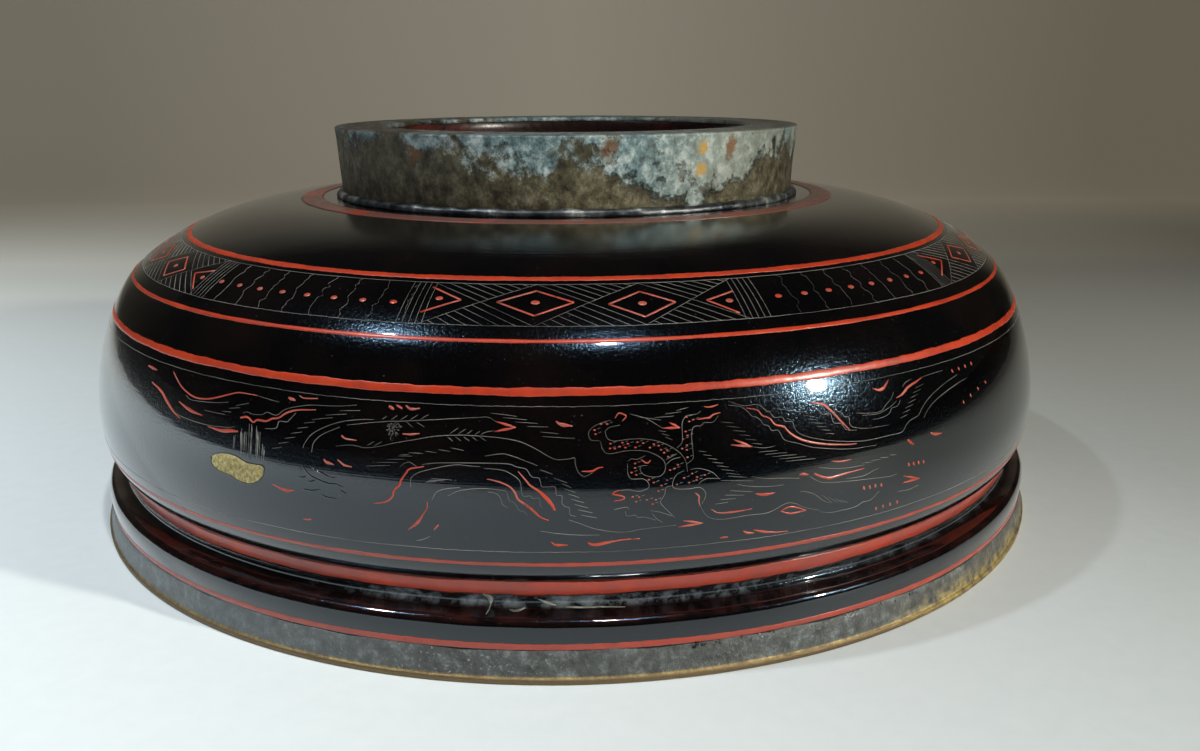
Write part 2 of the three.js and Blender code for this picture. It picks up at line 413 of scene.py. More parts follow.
class Shader:
    """A node material built step by step around one principled shader."""

    def __init__(self, name):
        self.material = bpy.data.materials.new(name)
        self.material.use_nodes = True
        self.tree = self.material.node_tree
        self.bsdf = self.tree.nodes["Principled BSDF"]

    def node(self, kind, inputs=(), **settings):
        made = self.tree.nodes.new(kind)
        for key, value in settings.items():
            setattr(made, key, value)
        for key, value in dict(inputs).items():
            self.put(made.inputs[key], value)
        return made

    def put(self, socket, value):
        if isinstance(value, bpy.types.NodeSocket):
            self.tree.links.new(value, socket)
        else:
            socket.default_value = value

    def set(self, **values):
        for key, value in values.items():
            self.put(self.bsdf.inputs[key.replace("_", " ")], value)

    def place(self, output="Object"):
        return self.node("ShaderNodeTexCoord").outputs[output]

    def stretched(self, scale, output="Object"):
        inputs = {"Vector": self.place(output), "Scale": scale}
        return self.node("ShaderNodeMapping", inputs).outputs["Vector"]

    def noise(self, vector, scale, detail=4.0, rough=0.55):
        inputs = {"Vector": vector, "Scale": scale, "Detail": detail, "Roughness": rough}
        return self.node("ShaderNodeTexNoise", inputs).outputs["Fac"]

    def ramp(self, value, *stops):
        made = self.node("ShaderNodeValToRGB", {"Fac": value})
        elements = made.color_ramp.elements
        while len(elements) < len(stops):
            elements.new(0.5)
        for element, (position, colour) in zip(elements, stops):
            element.position = position
            tone = (colour,) * 3 if isinstance(colour, (int, float)) else colour
            element.color = (*tone, 1.0)
        return made.outputs["Color"]

    def mix(self, share, a, b):
        made = self.node("ShaderNodeMix", data_type="RGBA")
        self.put(made.inputs[0], share)
        for socket, value in ((made.inputs[6], a), (made.inputs[7], b)):
            self.put(socket, value if isinstance(value, bpy.types.NodeSocket) else (*value, 1.0))
        return made.outputs[2]

    def math(self, operation, a, b):
        made = self.node("ShaderNodeMath", operation=operation)
        self.put(made.inputs[0], a)
        self.put(made.inputs[1], b)
        return made.outputs[0]

    def times(self, a, b):
        return self.math("MULTIPLY", a, b)

    def plus(self, a, b):
        return self.math("ADD", a, b)

    def minus(self, a, b):
        return self.math("SUBTRACT", a, b)

    def bump(self, height, distance, socket="Normal"):
        made = self.node("ShaderNodeBump", {"Height": height, "Distance": distance})
        self.put(self.bsdf.inputs[socket], made.outputs["Normal"])

    def near(self, spot, reach, ragged):
        """A ragged mask round a spot in millimetres."""
        place = tuple(value * MM for value in spot)
        away = self.node("ShaderNodeVectorMath", operation="DISTANCE")
        self.put(away.inputs[0], self.place())
        self.put(away.inputs[1], place)
        share = self.times(away.outputs["Value"], 1 / (reach * MM))
        uneven = self.times(self.minus(ragged, 0.5), RAGGED_EDGE)
        return self.ramp(self.plus(share, uneven), *SPOT_FADE)

    def axis(self, name):
        return self.node("ShaderNodeSeparateXYZ", {"Vector": self.place()}).outputs[name]

    def west_to_east(self, scale):
        """Where a point lies across the bowl: a half in the middle, more to the east."""
        return self.plus(self.times(self.axis("X"), scale), 0.5)


# Colours, some as stops along a ramp
JET = (0.0012, 0.0010, 0.0012)
BROWN_JET = (0.0062, 0.0033, 0.0025)
# Reddish brown for the collar's top edge: rubbed wear and a painted reflection of the red ridge ring
RUBBED_EDGE_AND_RED_REFLECTION = (0.024, 0.007, 0.005)
# Blue grey for the groove: dust and painted sheen
GROOVE_DUST_AND_SHEEN = (0.19, 0.215, 0.25)
DUST_SPECK = (0.25, 0.24, 0.22)
LACQUER_SHEEN = (0.36, 0.66, 1.0, 1.0)
VERMILION = ((0.3, (0.36, 0.030, 0.010)), (0.52, (0.54, 0.037, 0.005)), (0.75, (0.60, 0.065, 0.015)))
RUBBED_PINK = (0.40, 0.15, 0.12)
# Pinkish brown for the foot ring: painted reflection of the foot band
FOOT_REFLECTION_BROWN = (0.155, 0.068, 0.052)
# Darker red for the low rings, which face down, away from the top lamps: painted shade
SHADED_LOW_RED = (0.23, 0.046, 0.032)
WORN_PAINT = (0.03, 0.01, 0.008)
NEEDLE_TONES = ((0.3, (0.09, 0.085, 0.08)), (0.65, (0.42, 0.40, 0.37)))
RIM_PATINA = ((0.32, (0.045, 0.046, 0.043)), (0.54, (0.098, 0.105, 0.104)), (0.68, (0.21, 0.23, 0.235)))
RIM_DUST = (0.42, 0.47, 0.49)
RIM_STAIN = (0.07, 0.052, 0.03)
# Dark gilt on the lip below its top edge: painted shade
SHADED_LIP_GILT = (0.19, 0.135, 0.075)
GILT = (0.58, 0.43, 0.16)
WORN_GILT = (0.52, 0.39, 0.13)
FOOT_BROWN = ((0.36, (0.030, 0.025, 0.016)), (0.50, (0.13, 0.115, 0.066)), (0.66, (0.34, 0.31, 0.21)))
VERDIGRIS = ((0.36, (0.035, 0.062, 0.075)), (0.49, (0.19, 0.30, 0.32)), (0.62, (0.66, 0.76, 0.76)))
GREY_CRUST = (0.40, 0.40, 0.31)
# Darkening at the foot's west and east sides: painted shade
FOOT_SHADE = (0.028, 0.022, 0.015)
FLANGE_BROWN = (0.085, 0.06, 0.04)
SCRATCH_TONES = ((0.32, (0.09, 0.095, 0.088)), (0.60, (0.40, 0.41, 0.37)))
PASTE_TONES = ((0.40, (0.03, 0.035, 0.042)), (0.55, (0.15, 0.16, 0.17)), (0.68, (0.62, 0.63, 0.60)))
ASH_TONES = ((0.34, (0.18, 0.12, 0.035)), (0.50, (0.54, 0.44, 0.17)), (0.66, (0.88, 0.78, 0.45)))
ASH_BROWN = (0.28, 0.22, 0.09)
WOOD_TONES = ((0.2, (0.30, 0.19, 0.10)), (0.8, (0.46, 0.32, 0.19)))
WOOD_FIBRE = (0.20, 0.12, 0.06)
LINING_TONES = ((0.38, (0.20, 0.02, 0.012)), (0.62, (0.36, 0.045, 0.022)))
BASE_TONES = ((0.48, (0.022, 0.010, 0.009)), (0.72, (0.13, 0.022, 0.016)))
FLOOR_TONES = ((0.3, (0.78, 0.835, 0.85)), (0.7, (0.81, 0.86, 0.875)))
FAR_FLOOR = (0.84, 0.82, 0.74)

# Bands by height, in decimetres: brush marks on the crown, the collar's rubbed edge with a painted reflection
# of the red ridge ring, dust and painted sheen in the groove
LEVEL_SCALE = 10.0
BRUSHED_CROWN = ((0.68, 0.0), (0.72, 0.6))
EDGE_WEAR_AND_REFLECTION = ((0.110, 0.0), (0.115, 1.0), (0.122, 1.0), (0.127, 0.0))
GROOVE_DUST_AND_SHEEN_BAND = ((0.1245, 0.0), (0.130, 1.0), (0.147, 1.0), (0.153, 0.0))
# Where across the bowl the groove gets dust and painted sheen, as shares of a quarter of a metre from west to
# east
SIDE_SCALE = 4.0
DUST_AND_SHEEN_SPAN = ((0.28, 0.04), (0.38, 1.0), (0.60, 1.0), (0.70, 0.25))


def black_lacquer():
    """Polished black lacquer: a mirror coat over brush streaks, with dust and painted sheen in the groove,
    and a worn collar edge with a painted reflection of the red ridge ring.
    """
    s = Shader("black_lacquer")
    streaks = s.noise(s.stretched((3.0, 420.0, 1.0), "UV"), 1.0, 6.0, 0.65)
    patches = s.noise(s.place(), 38.0, 5.0, 0.6)
    mottle = s.noise(s.place(), 240.0, 7.0, 0.7)
    dust = s.noise(s.place(), 2000.0, 2.0, 0.5)
    brown = s.ramp(patches, (0.46, 0.0), (0.72, 1.0))
    tone = s.mix(brown, JET, BROWN_JET)
    level = s.times(s.axis("Z"), LEVEL_SCALE)
    # The collar's top edge turns reddish brown: rubbed wear and a painted reflection of the red ridge ring
    worn = s.times(s.ramp(level, *EDGE_WEAR_AND_REFLECTION), s.ramp(mottle, (0.42, 0.1), (0.62, 1.0)))
    edged = s.mix(worn, tone, RUBBED_EDGE_AND_RED_REFLECTION)
    side = s.west_to_east(SIDE_SCALE)
    # Blue grey in the groove, towards the middle from west to east: dust and painted sheen
    dust_and_sheen_patches = s.times(s.ramp(level, *GROOVE_DUST_AND_SHEEN_BAND), s.ramp(mottle, (0.45, 0.05), (0.62, 1.0)))
    dust_and_sheen = s.times(dust_and_sheen_patches, s.ramp(side, *DUST_AND_SHEEN_SPAN))
    grooved = s.mix(dust_and_sheen, edged, GROOVE_DUST_AND_SHEEN)
    specks = s.ramp(dust, (0.73, 0.0), (0.78, 1.0))
    s.set(Base_Color=s.mix(s.times(specks, 0.25), grooved, DUST_SPECK))
    s.set(Roughness=s.ramp(dust, (0.35, 0.10), (0.65, 0.21)), IOR=1.5)
    s.set(Specular_IOR_Level=0.22, Specular_Tint=LACQUER_SHEEN)
    s.set(Coat_Weight=1.0, Coat_Roughness=0.042, Coat_IOR=1.57)
    grit = s.plus(s.times(dust, 1.6), specks)
    s.bump(s.plus(s.times(streaks, 0.3), s.plus(patches, grit)), 0.00003)
    brushed = s.noise(s.stretched((2.0, 70.0, 1.0), "UV"), 1.0, 4.0, 0.6)
    crown = s.times(streaks, s.ramp(level, *BRUSHED_CROWN))
    ripple = s.plus(s.times(brushed, 0.3), crown)
    s.bump(s.plus(patches, ripple), 0.000045, "Coat Normal")
    return s.material


def red_paint(name, haze, worn_from, dull=RUBBED_PINK, rub_and_painted_light_at=(0.38, 0.60)):
    """Vermilion brushed on in lacquer: uneven in tone, dull where rubbed, dark where worn, half glossy; the
    low paint's dull patches are painted shade, the foot paint's a painted reflection of the foot band.
    """
    s = Shader(name)
    tone = s.noise(s.place(), 160.0, 6.0, 0.65)
    wear = s.noise(s.place(), 700.0, 4.0, 0.7)
    patches = s.noise(s.place(), 70.0, 5.0, 0.6)
    # Patches turn to the dull colour: rubbed paint, and in the low and foot paints painted shade and a
    # painted reflection of the foot band
    rubbed = s.times(s.ramp(patches, (rub_and_painted_light_at[0], 0.0), (rub_and_painted_light_at[1], 1.0)), haze)
    dulled = s.mix(rubbed, s.ramp(tone, *VERMILION), dull)
    worn = s.ramp(wear, (worn_from, 0.0), (worn_from + 0.12, 0.75))
    s.set(Base_Color=s.mix(worn, dulled, WORN_PAINT))
    s.set(Roughness=s.ramp(wear, (0.3, 0.30), (0.7, 0.5)))
    s.set(Coat_Weight=0.5, Coat_Roughness=0.22)
    s.bump(tone, 0.00005)
    return s.material


def needle_line():
    """The pale bottom of a needle-cut line."""
    s = Shader("needle_line")
    fade = s.noise(s.place(), 90.0, 3.0, 0.6)
    s.set(Base_Color=s.ramp(fade, *NEEDLE_TONES))
    s.set(Roughness=s.ramp(fade, (0.3, 0.45), (0.7, 0.7)))
    s.bump(s.noise(s.place(), 1200.0), 0.00003)
    return s.material


def rim_metal():
    """Grey patina over gilt bronze, with pale specks, brown stains and bare gold along the bottom edge, dark
    below the lip's top edge as painted shade.
    """
    s = Shader("rim_metal")
    broad = s.noise(s.place(), 45.0, 6.0, 0.65)
    fine = s.noise(s.place(), 420.0, 8.0, 0.7)
    grain = s.noise(s.place(), 1600.0, 4.0, 0.6)
    patina = s.ramp(fine, *RIM_PATINA)
    side = s.west_to_east(SIDE_SCALE)
    grains = s.times(s.ramp(grain, (0.57, 0.0), (0.68, 0.9)), s.ramp(broad, (0.44, 0.1), (0.60, 1.0)))
    specks = s.times(grains, s.ramp(side, (0.10, 1.0), (0.30, 1.0), (0.62, 0.45)))
    west = s.ramp(side, (0.10, 0.35), (0.42, 0.0))
    dusted = s.mix(s.math("MAXIMUM", specks, west), patina, RIM_DUST)
    stained = s.mix(s.ramp(broad, (0.58, 0.0), (0.70, 0.6)), dusted, RIM_STAIN)
    height = s.times(s.axis("Z"), 1 / (LIP_BAND_HEIGHT * MM))
    low = s.ramp(height, (0.20, 1.0), (0.25, 0.0))
    east = s.ramp(side, (0.74, 0.0), (0.82, 1.0), (0.90, 1.0), (0.96, 0.35))
    low_east = s.times(east, s.ramp(height, (0.30, 1.0), (0.75, 0.1)))
    worn = s.times(s.ramp(fine, (0.42, 0.0), (0.60, 0.9)), low_east)
    rubbed = s.math("MAXIMUM", low, worn)
    # Below the lip's top edge the gilt is dark: painted shade; the edge itself keeps bright gilt
    edge = s.ramp(height, (0.15, 0.0), (0.20, 1.0))
    bright = s.times(edge, s.ramp(fine, (0.42, 0.1), (0.66, 0.9)))
    gilt = s.mix(bright, SHADED_LIP_GILT, GILT)
    s.set(Base_Color=s.mix(worn, s.mix(low, stained, gilt), WORN_GILT))
    s.set(Metallic=s.ramp(rubbed, (0.1, 0.2), (0.8, 0.75)))
    s.set(Roughness=s.ramp(grain, (0.3, 0.32), (0.7, 0.6)))
    s.bump(s.plus(fine, s.times(grain, 0.4)), 0.0003)
    return s.material


# Height of the crust's lower edge across the foot from west to east, both as shares of the foot
CRUST_LINE = ((0.0, 1.0), (0.24, 0.95), (0.42, 0.58), (0.57, 0.66), (0.66, 0.38), (0.78, 0.15), (0.92, 0.75))
# Spots on the foot: colour, reach and places, with the ragged fade at their edges
RAGGED_EDGE = 2.6
SPOT_FADE = ((0.3, 0.9), (0.75, 0.0))
METAL_SPOTS = (
    ((0.22, 0.10, 0.035), 3.2, ((8.6, -59.2, 89.7), (36.5, -47.3, 89.4), (-34.0, -49.0, 88.5))),
    ((0.62, 0.36, 0.06), 2.6, ((30.2, -51.5, 89.3), (29.2, -51.7, 84.4))),
    ((0.34, 0.47, 0.45), 3.5, ((53.3, -27.4, 91.3),)),
)


def foot_metal():
    """Bronze crusted with verdigris above a ragged line, olive brown below it, with gilding left in spots and
    painted shade towards the west and east sides.
    """
    s = Shader("foot_metal")
    broad = s.noise(s.place(), 95.0, 7.0, 0.62)
    blotch = s.noise(s.stretched((310.0, 310.0, 270.0)), 1.0, 9.0, 0.74)
    fine = s.noise(s.place(), 800.0, 6.0, 0.65)
    pits = s.noise(s.place(), 150.0, 7.0, 0.7)
    brown = s.ramp(blotch, *FOOT_BROWN)
    green = s.ramp(blotch, *VERDIGRIS)
    across = s.west_to_east(0.5 / (FOOT_TOP_RADIUS * MM))
    rise = (FOOT_TOP - SEAT[1]) * MM
    up = s.times(s.minus(s.axis("Z"), SEAT[1] * MM), 1 / rise)
    crust_line = s.ramp(across, *CRUST_LINE)
    coarse = s.times(s.minus(broad, 0.5), 1.8)
    ragged = s.plus(coarse, s.times(s.minus(blotch, 0.5), 1.1))
    level = s.plus(s.plus(s.minus(up, crust_line), 0.5), ragged)
    whole = s.ramp(pits, (0.56, 1.0), (0.63, 0.25))
    crust = s.times(s.ramp(level, (0.42, 0.0), (0.58, 1.0)), whole)
    east = s.ramp(across, (0.62, 0.0), (0.80, 0.55))
    crusted = s.mix(crust, brown, s.mix(east, green, GREY_CRUST))
    # Darker towards the west and east sides of the foot: painted shade
    sides = s.ramp(across, (0.12, 0.6), (0.42, 0.0), (0.80, 0.0), (0.95, 0.45))
    shaded = s.mix(sides, crusted, FOOT_SHADE)
    for colour, reach, spots in METAL_SPOTS:
        for spot in spots:
            shaded = s.mix(s.near(spot, reach, blotch), shaded, colour)
    flat = s.ramp(up, (0.98, 0.0), (0.995, 0.6))
    s.set(Base_Color=s.mix(flat, shaded, FLANGE_BROWN))
    s.set(Metallic=s.ramp(level, (0.45, 0.4), (0.6, 0.05)))
    s.set(Roughness=s.ramp(fine, (0.3, 0.36), (0.7, 0.72)))
    s.bump(s.plus(s.plus(blotch, crust), s.times(fine, 0.35)), 0.0004)
    return s.material


def pale_scratch_and_highlight():
    """Lacquer scraped down to a pale grey-green dust, also used for pale patches in the groove that are
    partly painted highlights.
    """
    s = Shader("pale_scratch_and_highlight")
    tone = s.noise(s.place(), 500.0, 5.0, 0.65)
    s.set(Base_Color=s.ramp(tone, *SCRATCH_TONES))
    s.set(Roughness=s.ramp(tone, (0.3, 0.5), (0.7, 0.8)))
    s.bump(tone, 0.0001)
    return s.material


def bedding_paste():
    """Dark paste with bright, half metallic patches."""
    s = Shader("bedding_paste")
    tone = s.noise(s.place(), 150.0, 7.0, 0.7)
    s.set(Base_Color=s.ramp(tone, *PASTE_TONES))
    s.set(Roughness=s.ramp(tone, (0.3, 0.28), (0.7, 0.45)), Metallic=0.75)
    s.bump(tone, 0.0003)
    return s.material


def red_brown_lacquer(name, tones):
    """Red-brown lacquer with brighter patches, for the lining and the base."""
    s = Shader(name)
    patches = s.noise(s.place(), 55.0, 6.0, 0.62)
    fine = s.noise(s.place(), 600.0, 4.0, 0.6)
    s.set(Base_Color=s.ramp(patches, *tones))
    s.set(Roughness=s.ramp(fine, (0.3, 0.22), (0.7, 0.42)))
    s.bump(s.plus(patches, s.times(fine, 0.3)), 0.0001)
    return s.material


def ash_ground():
    """Khaki ground of ash and cloth, grainy and matt."""
    s = Shader("ash_ground")
    grain = s.noise(s.place(), 1300.0, 6.0, 0.78)
    broad = s.noise(s.place(), 260.0, 4.0, 0.6)
    tone = s.ramp(grain, *ASH_TONES)
    s.set(Base_Color=s.mix(s.ramp(broad, (0.45, 0.0), (0.7, 0.4)), tone, ASH_BROWN))
    s.set(Roughness=s.ramp(grain, (0.3, 0.75), (0.7, 0.95)))
    s.bump(grain, 0.0004)
    return s.material


def turned_wood():
    """Bare turned softwood: rings about the axis and fine fibres."""
    s = Shader("turned_wood")
    inputs = {"Vector": s.place(), "Scale": 60.0, "Distortion": 3.0, "Detail": 3.0}
    rings = s.node("ShaderNodeTexWave", inputs, wave_type="RINGS", rings_direction="Z").outputs["Fac"]
    fibres = s.noise(s.stretched((900.0, 900.0, 60.0)), 1.0, 4.0, 0.6)
    s.set(Base_Color=s.mix(s.times(fibres, 0.5), s.ramp(rings, *WOOD_TONES), WOOD_FIBRE))
    s.set(Roughness=s.ramp(fibres, (0.3, 0.7), (0.7, 0.9)))
    s.bump(fibres, 0.0002)
    return s.material


# Shells of the bowl

def lacquer_shell(material):
    """The black coat from the lip band to the foot, closed round its edges."""
    start = along_at_height(LIP_BAND_HEIGHT + SEAM)
    stations = np.concatenate([[start], ALONG[ALONG > start]])
    halfway = (stations[1:] + stations[:-1]) / 2
    fine = np.sort(np.concatenate([stations, halfway]))
    inner = FOOT_BASE_RADIUS - FOOT_BAND_WALL + BOND
    level, under = SEAT[1], SEAT[1] - LACQUER_COAT
    ledge = spun([(inner + BOND, level), (inner, level), (inner, under), (inner + BOND, under)])

    def section(angles):
        face = wall_points(angles[None, :], fine[:, None])
        back = wall_points(angles[None, :], fine[::-1, None], -LACQUER_COAT)
        return np.concatenate([face, ledge(angles), back])

    shell = turned_piece("lacquer_shell", section, material)
    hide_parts("outer_lacquer")


def lip_band(material):
    """The metal channel over the lip: its edge uneven, with a bead along the bottom."""
    inside = MOUTH_RADIUS - WALL
    leg_end = COLLAR_FOOT_RADIUS - WALL
    top = LIP_BAND_HEIGHT + LIP_LAP
    outline = rounded([
        (inside, 0.0), (MOUTH_RADIUS + LIP_BEAD, 0.0), (MOUTH_RADIUS + LIP_BEAD, LIP_WEB),
        (MOUTH_RADIUS - LIP_PROUD, LIP_WEB + LIP_BEAD), (COLLAR_FOOT_RADIUS + LIP_PROUD, top),
        (COLLAR_FOOT_RADIUS - LIP_WALL_TOP, top), (MOUTH_RADIUS - LIP_WALL_FOOT, LIP_WEB),
        (inside + LIP_LEG, LIP_WEB), (leg_end + LIP_LEG, LIP_BAND_HEIGHT), (leg_end, LIP_BAND_HEIGHT),
    ])

    def section(angles):
        radius, height = outline[:, 0, None], outline[:, 1, None]
        outer_leg = radius > COLLAR_FOOT_RADIUS - LIP_OUTER_DEPTH
        upper = np.clip((height - LIP_RIPPLE_FROM) / LIP_RIPPLE_RISE, 0, 1) * outer_leg
        dented = np.clip((height - LIP_DENT_FROM) / LIP_DENT_RISE, 0, 1)
        dent = dented * waves(angles, LIP_DENTS, height)
        ripple = upper * waves(angles, LIP_WAVES) * LIP_RIPPLE
        return around(angles, radius + dent, height + ripple)

    band = turned_piece("lip_band", section, material)
    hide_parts("rim_band")


def foot_sleeve(material):
    """The metal sleeve round the foot, slightly dented, with its standing flange."""
    inner = FOOT_BASE_RADIUS - FOOT_BAND_WALL
    bend_in, bend_down = FOOT_BEND
    edge = FOOT_TOP - FOOT_EDGE
    outline = rounded([
        (inner, SEAT[1] + SEAM), (FOOT_BASE_RADIUS, SEAT[1] + SEAM),
        (FOOT_TOP_RADIUS - bend_in, FOOT_TOP - bend_down), (FOOT_TOP_RADIUS, edge),
        (FOOT_TOP_RADIUS - FOOT_EDGE, FOOT_TOP), (FOOT_INSIDE + FOOT_EDGE, FOOT_TOP), (FOOT_INSIDE, edge),
        (FOOT_INSIDE, FOOT_TOP - FOOT_FLANGE), (inner, FOOT_TOP - FOOT_FLANGE),
    ])

    def section(angles):
        radius, height = outline[:, 0, None], outline[:, 1, None]
        share = np.clip((height - SEAT[1]) / FOOT_DENT_RISE, 0, 1)
        return around(angles, radius + share * waves(angles, FOOT_DENTS, height), height)

    sleeve = turned_piece("foot_sleeve", section, material)
    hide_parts("foot_band")


def fillet_bead(material):
    """The bead of bedding paste round the foot, lumpy."""
    turns = np.linspace(0, 2 * math.pi, BEAD_TURNS, endpoint=False)[:, None]

    def section(angles):
        size = BEAD_SIZE + waves(angles, BEAD_LUMPS)
        radius = FOOT_BASE_RADIUS + BEAD_OFFSET + size * np.cos(turns)
        height = SEAT[1] + BEAD_OFFSET + size * np.sin(turns)
        radius = np.maximum(radius, FOOT_BASE_RADIUS - FOOT_BAND_WALL / 2)
        return around(angles, radius, np.maximum(height, SEAT[1] + TOUCH))

    bead = turned_piece("fillet_bead", section, material)
    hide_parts("foot_fillet")


def node_outline(name):
    """A turned node's outline on its +X side, from axis round to axis, as rows of radius and height."""
    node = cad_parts[name]
    spots = []
    for vertex in node.data.vertices:
        place = node.matrix_world @ vertex.co / MM
        on_side = abs(place.y) < CENTRE and place.x > -CENTRE
        spot = (round(place.x, POINT_DECIMALS), round(place.z, POINT_DECIMALS))
        spots.append(spot if on_side else None)
    links = {}
    for edge in node.data.edges:
        a, b = (spots[k] for k in edge.vertices)
        if a and b and a != b:
            links.setdefault(a, set()).add(b)
            links.setdefault(b, set()).add(a)
    path = [min(links)]
    while True:
        ahead = [spot for spot in sorted(links[path[-1]], reverse=True) if spot not in path]
        if not ahead:
            return np.array(path)
        path.append(ahead[0])


def lining(material):
    """The lacquer lining of the inside: a round copy of its node, creased where the wall turns sharply."""
    outline = node_outline("inner_lacquer")
    outline[:, 0] = np.maximum(outline[:, 0], CENTRE)
    piece = turned_piece("lining", spun(outline), material, COARSE_SEGMENTS)
    piece.data.set_sharp_from_angle(angle=LINING_CREASE)
    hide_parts("inner_lacquer")


def base_coat(material):
    """The coat on the recessed base and up the inside of the foot ring."""
    top = FOOT_TOP - FOOT_FLANGE - SEAM
    face = BASE_FLOOR + BASE_COAT
    outline = rounded([
        (CENTRE, BASE_FLOOR), (FOOT_INSIDE + BASE_COAT, BASE_FLOOR), (FOOT_INSIDE + BASE_COAT, top),
        (FOOT_INSIDE + TOUCH, top), (FOOT_INSIDE + TOUCH, face + BASE_CHAMFER),
        (FOOT_INSIDE - BASE_CHAMFER, face), (CENTRE, face),
    ])
    piece = turned_piece("base_coat", spun(outline), material, COARSE_SEGMENTS)
    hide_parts("base_lacquer")


# Painted and cut rings

PAINT_HEIGHT = 0.05
THICK_PAINT = 0.12
# Each red ring: name, distance along the outline of its middle, width, height and kind of the paint
RED_RINGS = (
    # The low kind takes a darker paint as painted shade; the foot kind a pinkish brown paint as a painted
    # reflection of the foot band
    ("red_ring_foot", along_at_radius(66.5), 5.6, THICK_PAINT, "foot"),
    ("red_ring_crown", along_at_radius(96.3), 1.6, PAINT_HEIGHT, "high"),
    ("red_ring_shoulder", along_at_radius(109.57), 0.95, PAINT_HEIGHT, "high"),
    ("red_ring_belly_top", along_at_height(52.5), 1.6, PAINT_HEIGHT, "high"),
    ("red_ring_belly_foot", along_at_height(22.45), 0.95, PAINT_HEIGHT, "low"),
    ("red_ring_ridge", along_at_height(16.6), 3.3, PAINT_HEIGHT, "low"),
    ("red_ring_collar", along_at_height(6.85), 1.4, PAINT_HEIGHT, "low"),
)
FRIEZE_IN = 98.0
FRIEZE_OUT = 107.2
NEEDLE_RINGS = (
    along_at_radius(FRIEZE_IN), along_at_radius(FRIEZE_OUT), along_at_height(50.2), along_at_height(25.1),
)
NEEDLE_WIDTH = 0.065
NEEDLE_HEIGHT = 0.03
NEEDLE_WAVER = 0.08
RING_STEPS = 1440
# Most that a ring wavers, and its waver as shares of the width
RING_WAVER = 0.1
MIDDLE_SHARE = 0.045
WIDTH_SHARE = 0.13
BRUSH_WAVES = (5, 11, 17, 29, 53, 97, 173, 311)
BRUSH_START = 6.3
BRUSH_CALM = 2.4
RING_SEEDS = (0, 50, 90)


def wavering(angles, seed, size):
    """A brush's slow waver round a ring."""
    draw_from = random.Random(seed)
    total = np.zeros_like(angles)
    for count in BRUSH_WAVES:
        total += draw_from.uniform(-1, 1) * np.sin(count * angles + draw_from.uniform(0, BRUSH_START))
    return size * total / BRUSH_CALM


def red_rings(**paints):
    """Brushed rings, each with the paint of its kind."""
    angles = np.linspace(0, 2 * math.pi, RING_STEPS, endpoint=False)
    for seed, (name, along, width, height, kind) in enumerate(RED_RINGS):
        ink = Ink(height)
        middle = along + wavering(angles, RING_SEEDS[0] + seed, min(MIDDLE_SHARE * width, RING_WAVER))
        widths = width + wavering(angles, RING_SEEDS[1] + seed, min(WIDTH_SHARE * width, 2 * RING_WAVER))
        ink.stroke(np.stack([angles, middle], 1), widths, closed=True)
        ink.piece(name, paints[kind], "red_lacquer")


def needle_rings(material):
    """Fine cut rings along the borders of the drawn zones."""
    angles = np.linspace(0, 2 * math.pi, RING_STEPS, endpoint=False)
    ink = Ink(NEEDLE_HEIGHT)
    for seed, along in enumerate(NEEDLE_RINGS):
        middle = along + wavering(angles, RING_SEEDS[2] + seed, NEEDLE_WAVER)
        ink.stroke(np.stack([angles, middle], 1), NEEDLE_WIDTH, closed=True)
    ink.piece("needle_rings", material, "black_lacquer")


# Lozenge frieze of the shoulder: panels with dotted stretches between them

PANEL_CENTRES = (-88.3, -25.3, 37.7, 94.7, 151.7, -151.3)
LATTICE_NODES = (-16.2, -5.1, 5.6, 16.0)
LOZENGES = ((-5.1, 102.5, 3.85), (5.6, 103.0, 3.4))
LOZENGE_HALF_HEIGHT = 2.75
CHEVRONS = (
    ((-16.2, 99.3), (-12.7, 102.2), (-16.4, 105.1), (-15.0, 102.0)),
    ((15.6, 101.3), (12.3, 103.0), (15.2, 106.1), (14.7, 103.4)),
)
SEPARATORS = (-18.5, -15.9, 15.6, 18.3)
SEPARATOR_COUNT = 5
DOT_ROW_EAST = (20.4, 43.1)
DOT_ROW_WEST = (-44.0, -19.7)
DOT_ROW_RADIUS = 103.3
DOT_COUNT = 8
ROW_DOT = (1.7, 1.15)
LOZENGE_DOT = (1.9, 1.3)
CHEVRON_DOT = (1.7, 1.2)
HATCH_COUNT = 7
FRIEZE_STROKE = 0.44
LINE_STEPS = 6
WRIGGLE_STEPS = 14
WRIGGLE_WIDTH = 0.022
WRIGGLE_WAVER = 0.3
SEED_SCALE = 100


def frieze_line(ink, centre, ends, width):
    """A straight line of the frieze between two points of angle in degrees and radius."""
    (a0, r0), (a1, r1) = ends
    share = np.linspace(0, 1, LINE_STEPS)
    angles = np.radians(centre + a0 + share * (a1 - a0))
    along = along_at_radius(r0 + share * (r1 - r0))
    ink.stroke(np.stack([angles, along], 1), width)


def frieze_dot(ink, centre, place, across, tall):
    """A dot of the frieze at a point of angle in degrees and radius."""
    ink.dot(math.radians(centre + place[0]), float(along_at_radius(place[1])), across, tall)


def lattice(ink, centre, left, right):
    """Crossed diagonals of one lattice cell, with parallel hatching above and below the crossing."""
    def place(across, down):
        return left + across * (right - left), FRIEZE_IN + down * (FRIEZE_OUT - FRIEZE_IN)

    frieze_line(ink, centre, (place(0, 0), place(1, 1)), NEEDLE_WIDTH)
    frieze_line(ink, centre, (place(0, 1), place(1, 0)), NEEDLE_WIDTH)
    for i in range(1, HATCH_COUNT):
        share = i / HATCH_COUNT
        frieze_line(ink, centre, (place(share, 0), place((1 + share) / 2, (1 - share) / 2)), NEEDLE_WIDTH)
        frieze_line(ink, centre, (place(share / 2, 1 - share / 2), place(share, 1)), NEEDLE_WIDTH)


